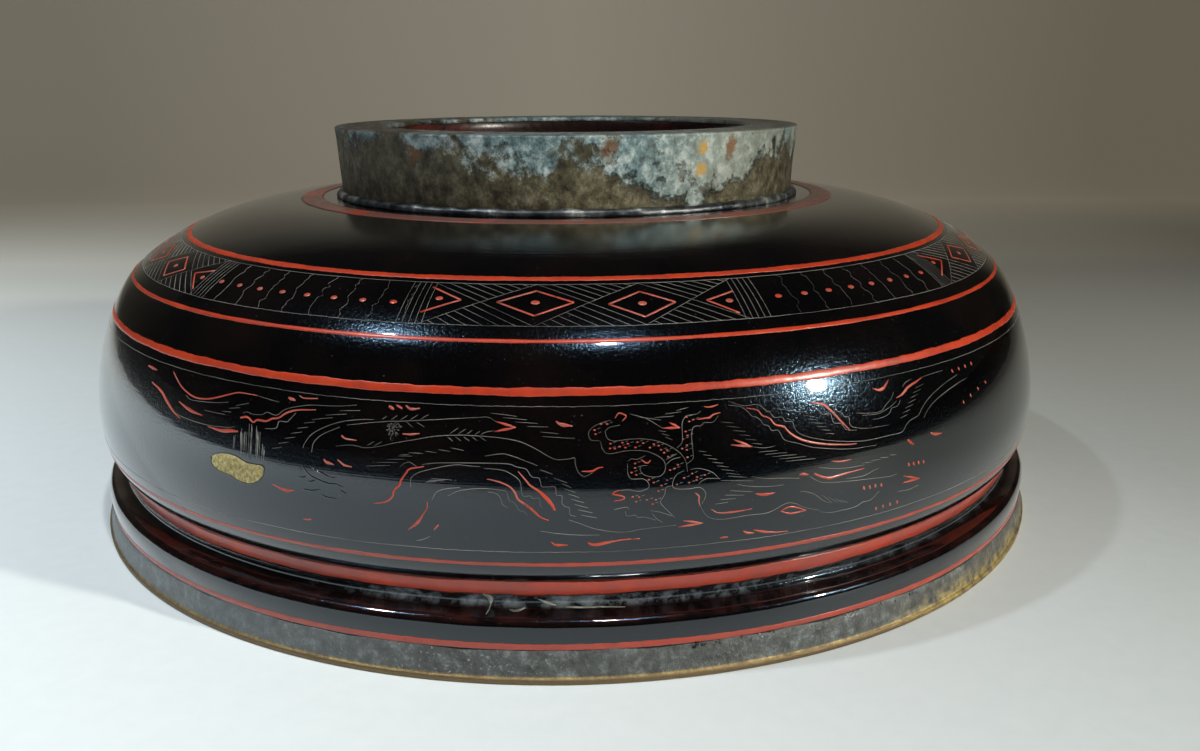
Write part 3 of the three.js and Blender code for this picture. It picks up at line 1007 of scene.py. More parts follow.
def dotted_stretch(red, needle, centre, reach):
    """Red dots with wavering upright needle lines between them, from a panel's edge half way to the next."""
    draw_from = random.Random(round(SEED_SCALE * (centre + reach[0])))
    step = (reach[1] - reach[0]) / (DOT_COUNT - 1)
    for i in range(DOT_COUNT):
        angle = reach[0] + i * step
        frieze_dot(red, centre, (angle, DOT_ROW_RADIUS), *ROW_DOT)
        rows = np.linspace(FRIEZE_IN, FRIEZE_OUT, WRIGGLE_STEPS)
        waver = np.array([draw_from.uniform(-WRIGGLE_WAVER, WRIGGLE_WAVER) for _ in rows])
        path = np.stack([np.radians(centre + angle + step / 2 + waver), along_at_radius(rows)], 1)
        needle.stroke(path, WRIGGLE_WIDTH)


def panel(red, needle, centre):
    """Two lozenges and two chevrons, each round a dot, on a hatched lattice between upright lines."""
    for left, right in zip(LATTICE_NODES, LATTICE_NODES[1:]):
        lattice(needle, centre, left, right)
    for low, high in (SEPARATORS[:2], SEPARATORS[2:]):
        for angle in np.linspace(low, high, SEPARATOR_COUNT):
            frieze_line(needle, centre, ((angle, FRIEZE_IN), (angle, FRIEZE_OUT)), NEEDLE_WIDTH)
    for angle, radius, half in LOZENGES:
        corners = ((angle - half, radius), (angle, radius - LOZENGE_HALF_HEIGHT),
                   (angle + half, radius), (angle, radius + LOZENGE_HALF_HEIGHT))
        for ends in zip(corners, corners[1:] + corners[:1]):
            frieze_line(red, centre, ends, FRIEZE_STROKE)
        frieze_dot(red, centre, (angle, radius), *LOZENGE_DOT)
    for top, tip, foot, spot in CHEVRONS:
        frieze_line(red, centre, (top, tip), FRIEZE_STROKE)
        frieze_line(red, centre, (tip, foot), FRIEZE_STROKE)
        frieze_dot(red, centre, spot, *CHEVRON_DOT)


def frieze(red_material, needle_material):
    """Six panels round the shoulder, with dots on both sides of every second one."""
    red = Ink(PAINT_HEIGHT)
    needle = Ink(NEEDLE_HEIGHT)
    for index, centre in enumerate(PANEL_CENTRES):
        panel(red, needle, centre)
        if index % 2 == 0:
            dotted_stretch(red, needle, centre, DOT_ROW_EAST)
            dotted_stretch(red, needle, centre, DOT_ROW_WEST)
    red.piece("frieze_paint", red_material, "red_lacquer")
    needle.piece("frieze_lines", needle_material, "black_lacquer")


# Belly drawing: lists of photograph pixels that are cast onto the wall

BEAST_LINES = {
    "head": [(611, 420), (602, 422.5), (593, 427), (588.5, 433), (591, 440), (599, 440.5)],
    "belly_curl": [
        (600.5, 441), (602.5, 449), (609, 453.7), (624, 451), (636, 450.3), (648, 451.5), (659, 456.5),
        (664.5, 462), (665, 470), (660, 476), (651, 476.7), (643, 474), (640, 469), (642, 465.7),
        (647, 465.5),
    ],
    "back": [
        (620, 425), (609, 427.5), (605.5, 432), (607.5, 438.3), (614, 441), (628, 439.2), (642, 438.7),
        (656, 440.7), (670, 446), (680, 453), (685.5, 460.5), (687.5, 471.5),
    ],
    "raised_leg_left": [
        (676.7, 448), (682, 442), (682, 430), (682, 423), (686, 416), (696, 414), (700.5, 411),
    ],
    "raised_leg_right": [
        (686.8, 463.8), (692.5, 459), (693, 452), (691.6, 440), (692, 430), (695, 426), (700.8, 425.6),
        (704, 422.4), (713, 422), (718, 415),
    ],
    "curl_paw_top": [(645, 455.6), (637.3, 459.2), (631.5, 458.7), (628, 461.3)],
    "curl_paw": [
        (627.4, 463.3), (628, 474), (632, 479), (643, 478.7), (648.5, 483), (648, 488), (639, 491.3),
        (627.7, 489.7), (614, 491.2),
    ],
    "hind_leg": [
        (684, 470.5), (676, 475), (672.4, 484.4), (676, 488.5), (689, 488.8), (700, 487.3), (705.8, 494),
        (701.7, 504),
    ],
    "tail_top": [(690, 469.5), (699, 468.3), (712, 472), (718.6, 478)],
    "tail_low": [(720, 478.5), (708, 478.3), (702, 480.6), (698.4, 484)],
    "chest": [(672.4, 485.4), (666, 487.5), (664.7, 494), (660.5, 501.7), (664, 507), (675, 517.5)],
    "neck_band_low": [(666, 464.7), (672, 459.4), (680.6, 457)],
    "neck_band_high": [(666, 459.4), (676.7, 453.7)],
    "plume": [(629.6, 413.8), (645, 418), (655.6, 424), (662.3, 428)],
    "plume_top": [(637, 416.6), (661, 420)],
    "front_foot": [(614, 509.5), (621, 508), (627, 507), (629, 509)],
    "front_fringe": [(625.5, 511), (627, 516), (635, 515), (638, 517.5), (644, 517), (656, 520)],
    "toe_left": [(652, 513), (656, 518), (663, 522.5)],
    "toe_right": [(650, 510.5), (660, 512), (672, 516)],
    "trail": [
        (700, 505), (705, 514), (712, 518.3), (724, 519), (748, 515), (768, 512.5), (783, 504.5),
        (790, 502.5), (797, 504), (805, 507.5), (819, 510),
    ],
}
CLOUD_LINES = {
    "right_cloud_top": [
        (728.5, 401.2), (738, 404.5), (745, 405.7), (756, 404.3), (762, 407), (766.5, 411.5), (769, 411.3),
        (773, 416.5), (776, 417.6), (782, 417), (785, 421.3), (792, 421.5), (793.5, 426), (798, 432.5),
        (810, 437.3), (830, 440.5), (850, 441.3), (865, 440.5), (888, 435.5), (901, 432), (906, 424.5),
        (910, 420), (918, 415), (922, 407), (930, 396), (944, 383.5), (957, 374.5),
    ],
    "right_cloud_low": [
        (728, 405), (740, 406.5), (747, 411), (752, 416.3), (756, 416.8), (761, 421), (763.5, 424.5),
        (768.5, 426), (771.5, 430.5), (778, 430.2), (782, 437), (786, 440.5), (797, 443), (812, 447),
        (835, 448.8), (852, 448.5), (876, 445),
    ],
    "high_cloud_top": [
        (781, 404.3), (783, 402.3), (800, 402.2), (826, 399.3), (830, 404), (834.5, 405), (836.5, 410.5),
        (841.5, 412.8), (844, 416.5), (848.3, 417), (849.5, 424), (854, 427.3), (867, 428), (888, 425),
    ],
    "high_cloud_low": [
        (810.5, 407.5), (817, 408), (820, 412), (822.5, 414.5), (830, 413.8), (831.5, 418.5), (834, 423),
        (841, 423.5), (846, 429.5), (856, 430),
    ],
    "high_dash": [(777, 408.8), (790, 410.3), (807.5, 412.7)],
    "crest_top": [(856, 413), (872, 413), (881, 410.5), (886, 404), (891, 398), (893, 392)],
    "crest_middle": [(862, 415.3), (877, 413.8), (888, 408), (896, 401)],
    "crest_low": [(872, 419.3), (880, 418), (888, 414), (891.5, 408), (897, 406), (900, 400)],
    "crest_tail": [(921, 377.5), (930, 374), (942, 370.5)],
    "crest_back": [(902, 387), (905, 382.5), (911, 379)],
    "outer_wave": [(923, 418), (929, 407), (940, 396), (956, 384), (966, 378)],
    "wind_line": [(818.5, 467.3), (835, 468.3), (850, 467.3), (864, 464.5)],
    "comma_line": [
        (809.5, 476.3), (816, 480), (825, 482.5), (850, 480.8), (866, 479), (888, 476.5), (897, 473.5),
    ],
    "comma_back": [(846, 478.5), (862, 476), (872, 471), (878, 468)],
    "lozenge_tail": [
        (820, 511.5), (828, 512.5), (838, 511), (856, 506.5), (862, 502), (870, 500), (879, 491),
    ],
    "barb_line": [(800, 491), (808, 492), (815, 494.5), (824, 501), (831, 503)],
    "mid_dash": [(751.5, 476.5), (765, 478.3), (780, 478), (799, 478)],
    "long_dash": [(737, 484), (746, 485.8), (760, 486.5), (773, 486), (783.5, 484.5)],
    "mid_arrow": [(752, 446.7), (762, 447.8), (770, 447), (775, 445.5)],
    "low_arrow": [
        (569, 520), (580, 523.5), (592, 528), (604, 530.5), (617, 532), (630, 531.5), (642, 529),
        (676, 525),
    ],
    "low_line": [(540, 531), (553, 533), (575, 535), (600, 535)],
    "low_right": [(897, 491.5), (908, 489.5), (918, 485)],
    "high_arrow": [
        (347, 425), (366, 423), (388, 421.2), (404, 421), (440, 419.3), (475, 417.5), (488, 417.2),
        (496, 421.5),
    ],
    "high_arrow_barb": [(481, 434.5), (486, 432), (494, 430.5)],
    "long_arrow": [
        (336, 446), (351, 445), (365, 447.5), (378, 446.5), (394, 443), (412, 440), (436, 436), (460, 435),
        (480, 436), (500, 437.7), (520, 441.5), (536, 449), (548, 456), (557, 459.6), (569, 458.8),
        (574.5, 457.8), (575.5, 465), (579, 473), (585, 476.3), (593, 472.4),
    ],
    "arch_outer": [
        (303, 448), (304.5, 443.5), (312, 434), (326, 426.5), (342, 421.5), (360, 419.5), (374, 419.5),
    ],
    "arch_inner": [(311.5, 452.5), (314, 442), (323, 434), (340, 427)],
    "hook": [(400, 466.5), (404, 463.5), (409, 462), (413, 464), (416.5, 466.3)],
    "hill_top": [
        (421.5, 465), (428, 463.5), (445, 462.8), (480, 463), (508, 463.8), (516, 466.7), (526, 469),
        (530.5, 475.5), (534, 477.5), (539.3, 478.3), (541, 485.5), (544, 487), (554, 486.7), (555.8, 489),
        (556.5, 495), (561.8, 495.8), (562, 503), (565, 506.5), (569.5, 508), (570, 514.5), (576, 516.5),
    ],
    "hill_left": [
        (410.5, 487), (411.5, 477.5), (420, 472), (436, 468), (455, 464.7), (472, 466), (480, 466.5),
    ],
    "hill_inner": [
        (484, 468.2), (502, 470), (513, 475), (520, 481.5), (521.5, 491), (523.5, 496), (530.5, 496),
        (532.5, 498.3), (539.5, 498.5), (540, 505), (542, 507),
    ],
    "hill_core": [
        (447.5, 496), (460, 490.5), (482, 488.5), (502, 490.3), (507, 493), (509, 500), (515, 503.5),
        (519, 510.5), (524, 511.5), (527, 515.5),
    ],
    "core_curl": [(488, 491.8), (496, 493.5), (500.5, 498), (502, 504), (507, 507.3)],
    "core_back": [(432, 500), (436, 492.5), (445, 489), (460, 487.5)],
    "slope_line": [(485, 456), (502, 453.7), (514, 456.5), (525, 460.8)],
    "left_wave_top": [
        (357, 405), (335, 406), (312, 405), (297, 406.5), (285, 409.5), (277, 415), (272, 414), (267, 412),
        (262, 414.5), (252, 414), (247, 411.7), (243, 413),
    ],
    "left_wave_low": [(296, 413), (290, 419), (287, 421.8), (279, 421.3), (276, 428), (265, 428.5)],
    "bow_tail": [(257, 395.5), (270, 399.5), (279, 402)],
    "keel_line": [(175, 413), (185, 418), (205, 424.5), (226, 427.3), (235, 426.5)],
    "deck_line": [(186, 395), (192, 400), (215, 402.5), (228, 402)],
    "deck_dash": [(204, 410), (212, 412), (225, 414.5)],
    "left_dash": [(416.5, 540.5), (423, 539.5), (430, 536.5)],
}
# Rows of short parallel lines: how many, the first line's ends and the last line's ends
HATCHES = {
    "right_rain": (6, (720.5, 421.8), (733.5, 423), (751.5, 443.3), (762, 444)),
    "high_rain": (6, (803, 415), (813.5, 416.7), (825.5, 433.3), (834, 433.6)),
    "wind": (5, (758.5, 452), (777, 450.3), (785.3, 461.2), (815, 458.3)),
    "rear_rain": (7, (698.5, 451), (706, 451.7), (726, 473), (740, 474.5)),
    "rear_low": (2, (721, 480.3), (753, 480.7), (728, 476), (747, 477.3)),
    "high_feathers_up": (5, (382, 419.5), (387, 416), (419.5, 420), (428.5, 414.5)),
    "high_feathers_down": (3, (397, 422), (401.5, 427.5), (416.5, 421.7), (424.5, 427)),
    "long_feathers_up": (4, (450, 433.5), (458.5, 427.8), (475, 434.5), (480, 431)),
    "long_feathers_down": (5, (447.5, 436.7), (453, 441), (480, 436.5), (485.7, 440.7)),
    "tail_feathers": (2, (367, 445.5), (374, 441.5), (374, 446), (382, 441.5)),
    "sky_rain": (4, (491, 413), (517, 416.3), (527.5, 426.3), (548, 427)),
    "sky_low": (2, (540.5, 431.8), (558.5, 433.5), (542.5, 436.5), (574.5, 438.3)),
    "dark_rain": (5, (400, 454.7), (409.5, 454.5), (451, 447.8), (464, 450.3)),
    "slope_rain": (7, (562, 483.5), (571, 487.5), (581, 515), (597, 518)),
    "slope_start": (3, (526, 461), (537.5, 465.5), (554, 478), (567.5, 483)),
    "under_hill": (3, (431, 478.5), (452, 480), (425.5, 482), (436, 481.5)),
    "left_rain": (6, (304, 423), (315, 422), (272, 448.5), (282, 447)),
    "left_sky": (3, (312, 419.5), (333, 417.5), (340, 410.5), (360, 410.5)),
    "step_rain": (5, (409, 452.5), (419.5, 453), (366, 466), (390, 465.3)),
    "crest_rain": (7, (915, 388), (923, 384), (900, 418), (907, 414.5)),
    "low_rain": (4, (889, 455), (896, 454.3), (861, 463), (872, 461.7)),
    "barb_rain": (4, (822, 495), (832, 502.5), (840, 500), (848, 502.5)),
    "leg_rain": (4, (730, 490.5), (752, 491.5), (715, 504), (728, 502)),
    "plume_low": (3, (658, 430.6), (666, 431.5), (665, 436.8), (672.4, 439.7)),
    "plume_high": (3, (676, 410.5), (688, 407.5), (653.6, 417.6), (674, 416)),
    "deck_rain": (3, (236, 405.5), (249, 403), (222, 411), (231, 412)),
}
# Brush strokes: widths in millimetres from start to end, then the path
RED_STROKES = {
    "raised_claw": ((0.2, 0.5, 0.2), [
        (697, 419.5), (705, 418), (709.4, 417.5), (713, 414.5), (720, 412.5),
    ]),
    "raised_spur": ((0.2, 0.45, 0.2), [(703.7, 406.5), (709, 407), (717.6, 404.6)]),
    "paw_claw": ((0.2, 0.4, 0.2), [(619, 490), (612.5, 494), (622.4, 496), (623.8, 499), (614, 501.3)]),
    "curl_claw": ((0.2, 0.4, 0.2), [(641, 459.5), (647, 463), (650.5, 460)]),
    "hind_claw": ((0.2, 0.45, 0.2), [(695, 492.6), (698.8, 496), (698.8, 501), (700, 506)]),
    "head_claw": ((0.2, 0.35, 0.2), [(615, 418), (619, 413), (626, 416), (622, 421)]),
    "right_cloud": ((0.2, 0.5, 0.55, 0.3), [
        (746, 408), (757, 410), (762, 415.5), (769, 418), (775, 424.5), (783, 426.5), (788, 431.3),
        (795, 436.5), (806, 441), (825, 444), (846, 444.3), (856, 443.5),
    ]),
    "high_cloud": ((0.2, 0.7, 0.6, 0.3), [
        (808.5, 402.7), (822, 404), (830, 410), (836, 416), (841, 421.5), (849.5, 430),
    ]),
    "crest": ((0.2, 0.8, 0.6, 0.2), [(896, 398), (902, 394), (908, 387), (916, 381.5), (921, 377.5)]),
    "bird": ((0.2, 1, 0.2), [(872.5, 388.3), (879, 390), (884, 387), (888, 380)]),
    "wind_fish": ((0.2, 0.45, 0.2), [(831, 461), (841, 461.3), (850.5, 459)]),
    "drop": ((0.3, 0.8, 0.2), [(799, 474.8), (803, 473.8), (808, 474.5)]),
    "comma": ((0.5, 0.7, 0.4, 0.2), [(813.5, 473.3), (822, 476.7), (830, 477.6), (845, 473.3), (864, 468)]),
    "far_drop": ((0.5, 0.9, 0.3), [(930, 433), (935, 434), (941, 433)]),
    "far_seed": ((0.5, 0.8, 0.3), [(907, 439.5), (910, 442), (913, 444)]),
    "bow_wave": ((0.3, 0.45, 0.4, 0.2), [
        (173.5, 371.5), (178, 381), (185, 390.5), (196, 397.5), (210, 398.5), (228, 394.5), (240, 392.5),
        (257, 395.5),
    ]),
    "bow_side": ((0.3, 0.9, 0.8, 0.2), [(152, 382), (161, 391), (166.5, 401), (173, 411), (180, 418.5)]),
    "bow_fin": ((0.3, 1, 0.2), [(179, 401.5), (189, 409.5), (202, 415.5)]),
    "keel": ((0.2, 0.7, 1.1, 0.4), [(208, 426.5), (221, 430.5), (231, 430.7), (237.5, 431.5)]),
    "left_wave": ((0.5, 0.5, 0.5, 0.2), [
        (240.5, 417.5), (247, 417), (253, 422), (257, 419.8), (266, 421), (272, 418.5), (279, 417.5),
        (286, 413), (297, 410), (316, 409.8),
    ]),
    "left_dab": ((0.5, 0.8, 0.3), [(148.5, 365.5), (152, 367.5), (157, 370)]),
    "left_seed": ((0.4, 0.8, 0.4), [(288.5, 397.5), (292, 399), (295.5, 400.3)]),
    "left_line": ((0.2, 0.35, 0.2), [(299.5, 395.3), (304, 398), (318, 398.5)]),
    "sky_seed_left": ((0.5, 0.8, 0.4), [(389, 406), (391.5, 407.5), (394, 409.5)]),
    "sky_seed": ((0.3, 0.6, 0.4), [(396.5, 404.8), (400, 407), (402.5, 408.5)]),
    "sky_seed_right": ((0.3, 0.7, 0.2), [(406, 405.3), (411, 409), (420, 408.3)]),
    "sky_dash": ((0.2, 0.55, 0.2), [(402.5, 433.7), (410, 434.3), (419.7, 433.5)]),
    "left_comma": ((0.4, 0.4, 0.15), [(341.5, 435.5), (346, 438.7), (356.5, 440.3)]),
    "left_drop": ((0.4, 0.8, 0.15), [(324, 459), (326, 462), (334, 464.5)]),
    "left_fin": ((0.25, 0.6, 0.2), [(337.5, 459.5), (344, 465), (352, 467)]),
    "hill_wave_right": ((0.2, 0.45, 0.55, 1, 0.5), [
        (518, 471.3), (526, 480.5), (530, 485.3), (538, 490.5), (544, 496), (551, 503.5), (555, 510.5),
    ]),
    "hill_wave": ((0.2, 0.4, 0.5, 0.6, 0.2), [
        (487, 479), (497, 481.3), (509, 486.3), (515, 493), (518, 499.5), (526, 505), (533, 510.5),
        (540, 517), (549, 520.5),
    ]),
    "hill_wave_left": ((0.2, 0.45, 0.5, 0.45, 0.2), [
        (424, 466.5), (410, 468.8), (406, 473), (401, 480), (399, 485.5), (394, 490), (392, 497),
        (385, 502), (374, 503.5),
    ]),
    "hill_wave_low": ((0.2, 0.3, 0.9, 0.2), [
        (427, 502), (427, 508), (422.5, 515), (417.5, 522.5), (408, 530),
    ]),
    "hill_dash": ((0.3, 0.5, 0.2), [(438.5, 525), (436, 527.5), (434, 530)]),
    "hook_comma": ((0.2, 0.45, 0.2), [(581.5, 471.4), (592, 471), (598, 468), (603, 467)]),
    "sky_fish": ((0.3, 1, 0.2), [(556, 421), (561, 424.5), (572.5, 425.7)]),
    "low_fish": ((0.2, 0.7, 0.2), [(551, 542), (556, 545), (568, 545)]),
    "comet": ((0.5, 1, 0.5, 0.35, 0.2), [
        (588, 542.5), (594, 545), (612, 541.5), (625, 539.5), (640, 538.5),
    ]),
    "low_dash": ((0.3, 0.5, 0.3), [(720, 538), (724, 537.3), (728, 537)]),
    "low_seed": ((0.4, 0.7, 0.2), [(743, 531), (748, 533), (754, 533)]),
    "low_tail": ((0.3, 0.7, 0.35, 0.2), [(753, 529.5), (762, 531.5), (775, 532.3), (788, 531)]),
    "leg_stroke": ((0.2, 0.5, 0.2), [(711, 509), (719, 512.7), (735, 511.5), (752, 508.5)]),
    "leg_drop": ((0.3, 0.9, 0.2), [(755, 493.5), (763, 494.5), (775, 492.5)]),
    "faded_fish": ((0.2, 0.4, 0.9, 0.2), [(272, 484), (281, 488.5), (287, 490.5), (294, 490.5)]),
    "faded_dash": ((0.3, 0.5, 0.3), [(303, 519), (307, 519.5), (311, 519.5)]),
    "lozenge_top": ((0.2, 0.5, 0.2), [(780, 511), (791, 506.5), (806, 510)]),
    "lozenge_low": ((0.2, 0.5, 0.2), [(780, 511), (791, 513.3), (806, 510)]),
}
# Arrowheads: the tip, then the ends of the two barbs
ARROWHEADS = {
    "high_arrow_head": ((516, 427.3), (496, 421.5), (494.5, 431.5)),
    "mid_arrow_head": ((752, 446.5), (733.5, 439.5), (731, 444.8)),
    "low_arrow_head": ((703, 523), (683, 520.5), (678, 527)),
    "far_arrow_head": ((919.5, 478.3), (903, 475.8), (902, 483)),
    "plume_head": ((680, 427.7), (669, 422.3), (662.3, 428)),
}
# Rows of four leaning dashes: the middle of the first and of the last
DASH_ROWS = {
    "upper_row": ((908.5, 464.5), (923, 461.5)),
    "middle_row": ((863.7, 487.8), (881, 484.8)),
    "lower_row": ((876, 508.5), (897, 502)),
    "far_row": ((952, 371), (971, 363.5)),
    "edge_row": ((963, 402), (985, 382)),
}
BEAST_SPOTS = [
    (601, 424), (607, 424), (594.5, 430), (595.5, 434), (610.4, 443.6), (610, 448.4), (614.7, 448.4),
    (619.5, 446.4), (622.4, 442.6), (627.7, 443.6), (625.3, 447.4), (637.3, 442), (643, 443),
    (635.4, 447.4), (649.8, 447.4), (653.7, 444), (658.5, 445.5), (661, 449.8), (667, 449.8), (664, 452.7),
    (668, 456.5), (674.3, 468.6), (677.7, 464.7), (670, 470), (667, 480), (661.3, 485.4), (653.7, 482.5),
    (658.5, 491), (639, 497), (632.5, 497), (636.3, 501.7), (647, 499.8), (655.6, 499.8), (652.7, 504),
    (648.8, 479.6), (686.3, 417), (689, 421.4), (693, 419.5), (685.4, 431.5), (687.3, 435.4), (683, 439),
    (686.8, 445), (682, 448.4), (686.8, 449.8), (687.3, 457), (635, 463.3), (635, 468), (631.5, 472.4),
    (636.3, 474.8), (692, 473.4), (704.6, 474.8), (684, 477.7), (697, 477), (689, 482.5), (677, 484.4),
    (696.4, 480),
]

# The drawing is repeated round the belly
BELLY_TURNS = tuple(math.radians(turn) for turn in (0, 120, 240))
DRAWN_NEEDLE = (0.045, 0.08, 0.08, 0.045)
HATCH_NEEDLE = (0.04, 0.07, 0.04)
BRUSH_LOAD = 0.78
BARB_WIDTHS = (0.12, 0.5, 0.15)
SPOT_SIZE = (0.5, 0.3)
FUR_STEP = 2.6
FUR_DASH = 3.2
FUR_RISE = (1, 2.2)
DASH_SIZE = (0.55, 0.95)
DASH_LEAN = 0.35
DASHES_IN_ROW = 4


def draw(ink, pixels, widths, turns=BELLY_TURNS):
    """A stroke through photograph pixels, its width changing along its length."""
    path = smooth_path(pixels)
    length = np.concatenate([[0.0], np.cumsum(np.hypot(*np.diff(path, axis=0).T))])
    across = np.interp(length / length[-1], np.linspace(0, 1, len(widths)), widths)
    spots = cast(path)
    for turn in turns:
        ink.stroke(spots + (turn, 0.0), across)


def hatch(ink, count, *corners):
    """Short parallel lines that step from a first line to a last one."""
    first_from, first_to, last_from, last_to = np.array(corners, float)
    for share in np.linspace(0, 1, count):
        start = first_from + share * (last_from - first_from)
        end = first_to + share * (last_to - first_to)
        draw(ink, [start, end], HATCH_NEEDLE)


def belly_drawing(red_material, needle_material):
    """Clouds, arrows and a long spotted beast: needle-cut lines with brushed red accents."""
    needle = Ink(NEEDLE_HEIGHT)
    for path in [*BEAST_LINES.values(), *CLOUD_LINES.values()]:
        draw(needle, path, DRAWN_NEEDLE)
    for row in HATCHES.values():
        hatch(needle, *row)
    for x, y in BEAST_SPOTS:
        root = (x + FUR_STEP, y - FUR_RISE[0])
        draw(needle, [root, (root[0] + FUR_DASH, y - FUR_RISE[1])], HATCH_NEEDLE)
    needle.piece("belly_lines", needle_material, "black_lacquer")
    red = Ink(PAINT_HEIGHT)
    for widths, path in RED_STROKES.values():
        draw(red, path, [BRUSH_LOAD * width for width in widths])
    for tip, *barbs in ARROWHEADS.values():
        for barb in barbs:
            draw(red, [barb, tip], BARB_WIDTHS)
    for first, last in DASH_ROWS.values():
        for angle, along in cast(np.linspace(first, last, DASHES_IN_ROW)):
            for turn in BELLY_TURNS:
                red.dot(angle + turn, along, *DASH_SIZE, DASH_LEAN)
    for angle, along in cast(BEAST_SPOTS):
        for turn in BELLY_TURNS:
            red.dot(angle + turn, along, *SPOT_SIZE)
    red.piece("belly_paint", red_material, "red_lacquer")


# Wear at the front: a chip down to the ground, scrapes over it, a scuff, wrinkles and beads of solder, and
# pale patches in the groove that are partly wear and partly painted highlights

CHIP_OUTLINE = [
    (211, 456), (216, 453.3), (226, 453), (236, 456), (246, 462), (256, 464.3), (263, 466), (264, 472),
    (260, 480), (250, 484), (240, 481.5), (230, 475.5), (219, 470.5), (212, 464),
]
# Rings of the chip: share of its outline and lift off the wall
CHIP_RINGS = ((1.0, -0.05), (0.9, 0.10), (0.6, 0.06), (0.3, 0.08))
CHIP_GRAIN = 0.03
CHIP_SEED = 3
SCRAPE_SEED = 5
SOLDER_SEED = 9
SCRAPE_LINES = (
    ((241, 422), (241, 456)), ((244.5, 424), (244, 458)), ((249, 423), (247.5, 461)),
    ((252, 424), (250, 462)), ((257, 426), (256.5, 457)), ((258.5, 430), (257, 463)),
    ((262.5, 443), (261.5, 463)), ((264.5, 449), (263, 463)), ((235, 434), (234, 449)),
)
SCRAPE_STRANDS = 4
SCRAPE_START = (0.0, 0.3)
SCRAPE_END = (0.75, 1.0)
SCRAPE_SHIFT = 0.8
SCRAPE_WIDTH = (0.03, 0.075)
SCRAPE_TAPER = (0.4, 1.0, 0.7, 0.3)
SCUFF_MIDDLE = (393, 429)
SCUFF_REACH = (8, 9)
SCUFF_COUNT = 90
SCUFF_SPREAD = 0.45
SCUFF_SIZE = (0.05, 0.16)
BEAD_COUNT = 34
BEAD_LEVEL = (-0.7, 0.1)
BEAD_ACROSS = (0.3, 1.1)
BEAD_TALL = (0.25, 0.6)
BEAD_SPAN = (-80, -52)
BEAD_HEIGHT = 0.3
FRONT_ONLY = (0.0,)
# A crack and pale patches in the groove, the patches partly wear and partly painted highlights: widths in
# millimetres, then the path in photograph pixels
GROOVE_WEAR_AND_HIGHLIGHTS = {
    "crack_top": ((0.6, 1.4, 0.3), [(483, 594), (490, 597.5), (490.5, 604)]),
    "crack_foot": ((0.25, 0.3, 0.12), [(490.5, 604), (489, 609), (486, 614)]),
    "blob": ((0.3, 0.8, 0.3), [(509, 609), (516, 610.5), (525, 607.5)]),
    "haze": ((0.2, 0.7, 0.2), [(538, 599), (548, 603), (556, 605)]),
    "streak": ((0.2, 0.45, 0.35, 0.15), [(556, 606.5), (575, 607), (600, 606.5), (625, 606)]),
}
WRINKLE_LINES = {
    "long": [(302, 464), (304.5, 469), (310, 475.5), (319, 480), (328, 483.5), (335, 484), (343, 487)],
    "upper": [(311, 466), (316, 471), (322, 473), (327, 476), (335, 478)],
    "left": [(298, 477), (303, 477.5), (307, 476)],
    "middle": [(307, 480.5), (310, 481.8), (315, 480)],
    "lower": [(302, 489), (312, 490.7), (320, 489.3)],
    "low": [(321, 494), (327, 497.5), (336, 498.5)],
    "right": [(340, 490.5), (346, 493.5)],
}
WRINKLE_HEIGHT = 0.06
WRINKLE_WIDTHS = (0.15, 0.4, 0.4, 0.15)
CHIP_LIP_WIDTHS = (0.12, 0.2, 0.3, 0.3, 0.12)


def chip(material):
    """A flake of lost lacquer that shows the khaki ground."""
    draw_from = random.Random(CHIP_SEED)
    rim = smooth_path(CHIP_OUTLINE + CHIP_OUTLINE[:1])[:-1]
    middle = rim.mean(axis=0)
    count = len(rim)
    verts = []
    for share, lift in CHIP_RINGS:
        lifts = lift + np.array([draw_from.uniform(-CHIP_GRAIN, CHIP_GRAIN) for _ in range(count)])
        spots = cast(middle + share * (rim - middle))
        verts += wall_points(spots[:, 0], spots[:, 1], lifts).tolist()
    angle, along = cast([middle])[0]
    verts += wall_points([angle], [along], CHIP_RINGS[-1][1]).tolist()
    faces = ring_faces(len(CHIP_RINGS), count, False)
    last = (len(CHIP_RINGS) - 1) * count
    faces += [(last + k, last + (k + 1) % count, len(verts) - 1) for k in range(count)]
    finish_piece("chip", verts, faces, material)


def scrapes(material):
    """Pale scrapes above the chip, a scuff beside the arrow, and a crack and pale patches in the groove, the
    patches partly wear and partly painted highlights.
    """
    draw_from = random.Random(SCRAPE_SEED)
    ink = Ink(NEEDLE_HEIGHT)
    for line in SCRAPE_LINES * SCRAPE_STRANDS:
        start, end = np.array(line, float)
        first = draw_from.uniform(*SCRAPE_START)
        last = draw_from.uniform(*SCRAPE_END)
        shift = (draw_from.gauss(0, SCRAPE_SHIFT), 0.0)
        width = draw_from.uniform(*SCRAPE_WIDTH)
        path = [start + first * (end - start) + shift, start + last * (end - start) + shift]
        draw(ink, path, [share * width for share in SCRAPE_TAPER], FRONT_ONLY)
    for _ in range(SCUFF_COUNT):
        pixel = [m + r * draw_from.gauss(0, SCUFF_SPREAD) for m, r in zip(SCUFF_MIDDLE, SCUFF_REACH)]
        size = draw_from.uniform(*SCUFF_SIZE)
        ink.dot(*cast([pixel])[0], size, size)
    for widths, path in GROOVE_WEAR_AND_HIGHLIGHTS.values():
        draw(ink, path, widths, FRONT_ONLY)
    ink.piece("scrapes", material, "black_lacquer")


def wrinkles(material):
    """Ridges where the lacquer has wrinkled."""
    ink = Ink(WRINKLE_HEIGHT)
    for path in WRINKLE_LINES.values():
        draw(ink, path, WRINKLE_WIDTHS, FRONT_ONLY)
    draw(ink, CHIP_OUTLINE + CHIP_OUTLINE[:1], CHIP_LIP_WIDTHS, FRONT_ONLY)
    ink.piece("wrinkles", material, "black_lacquer")


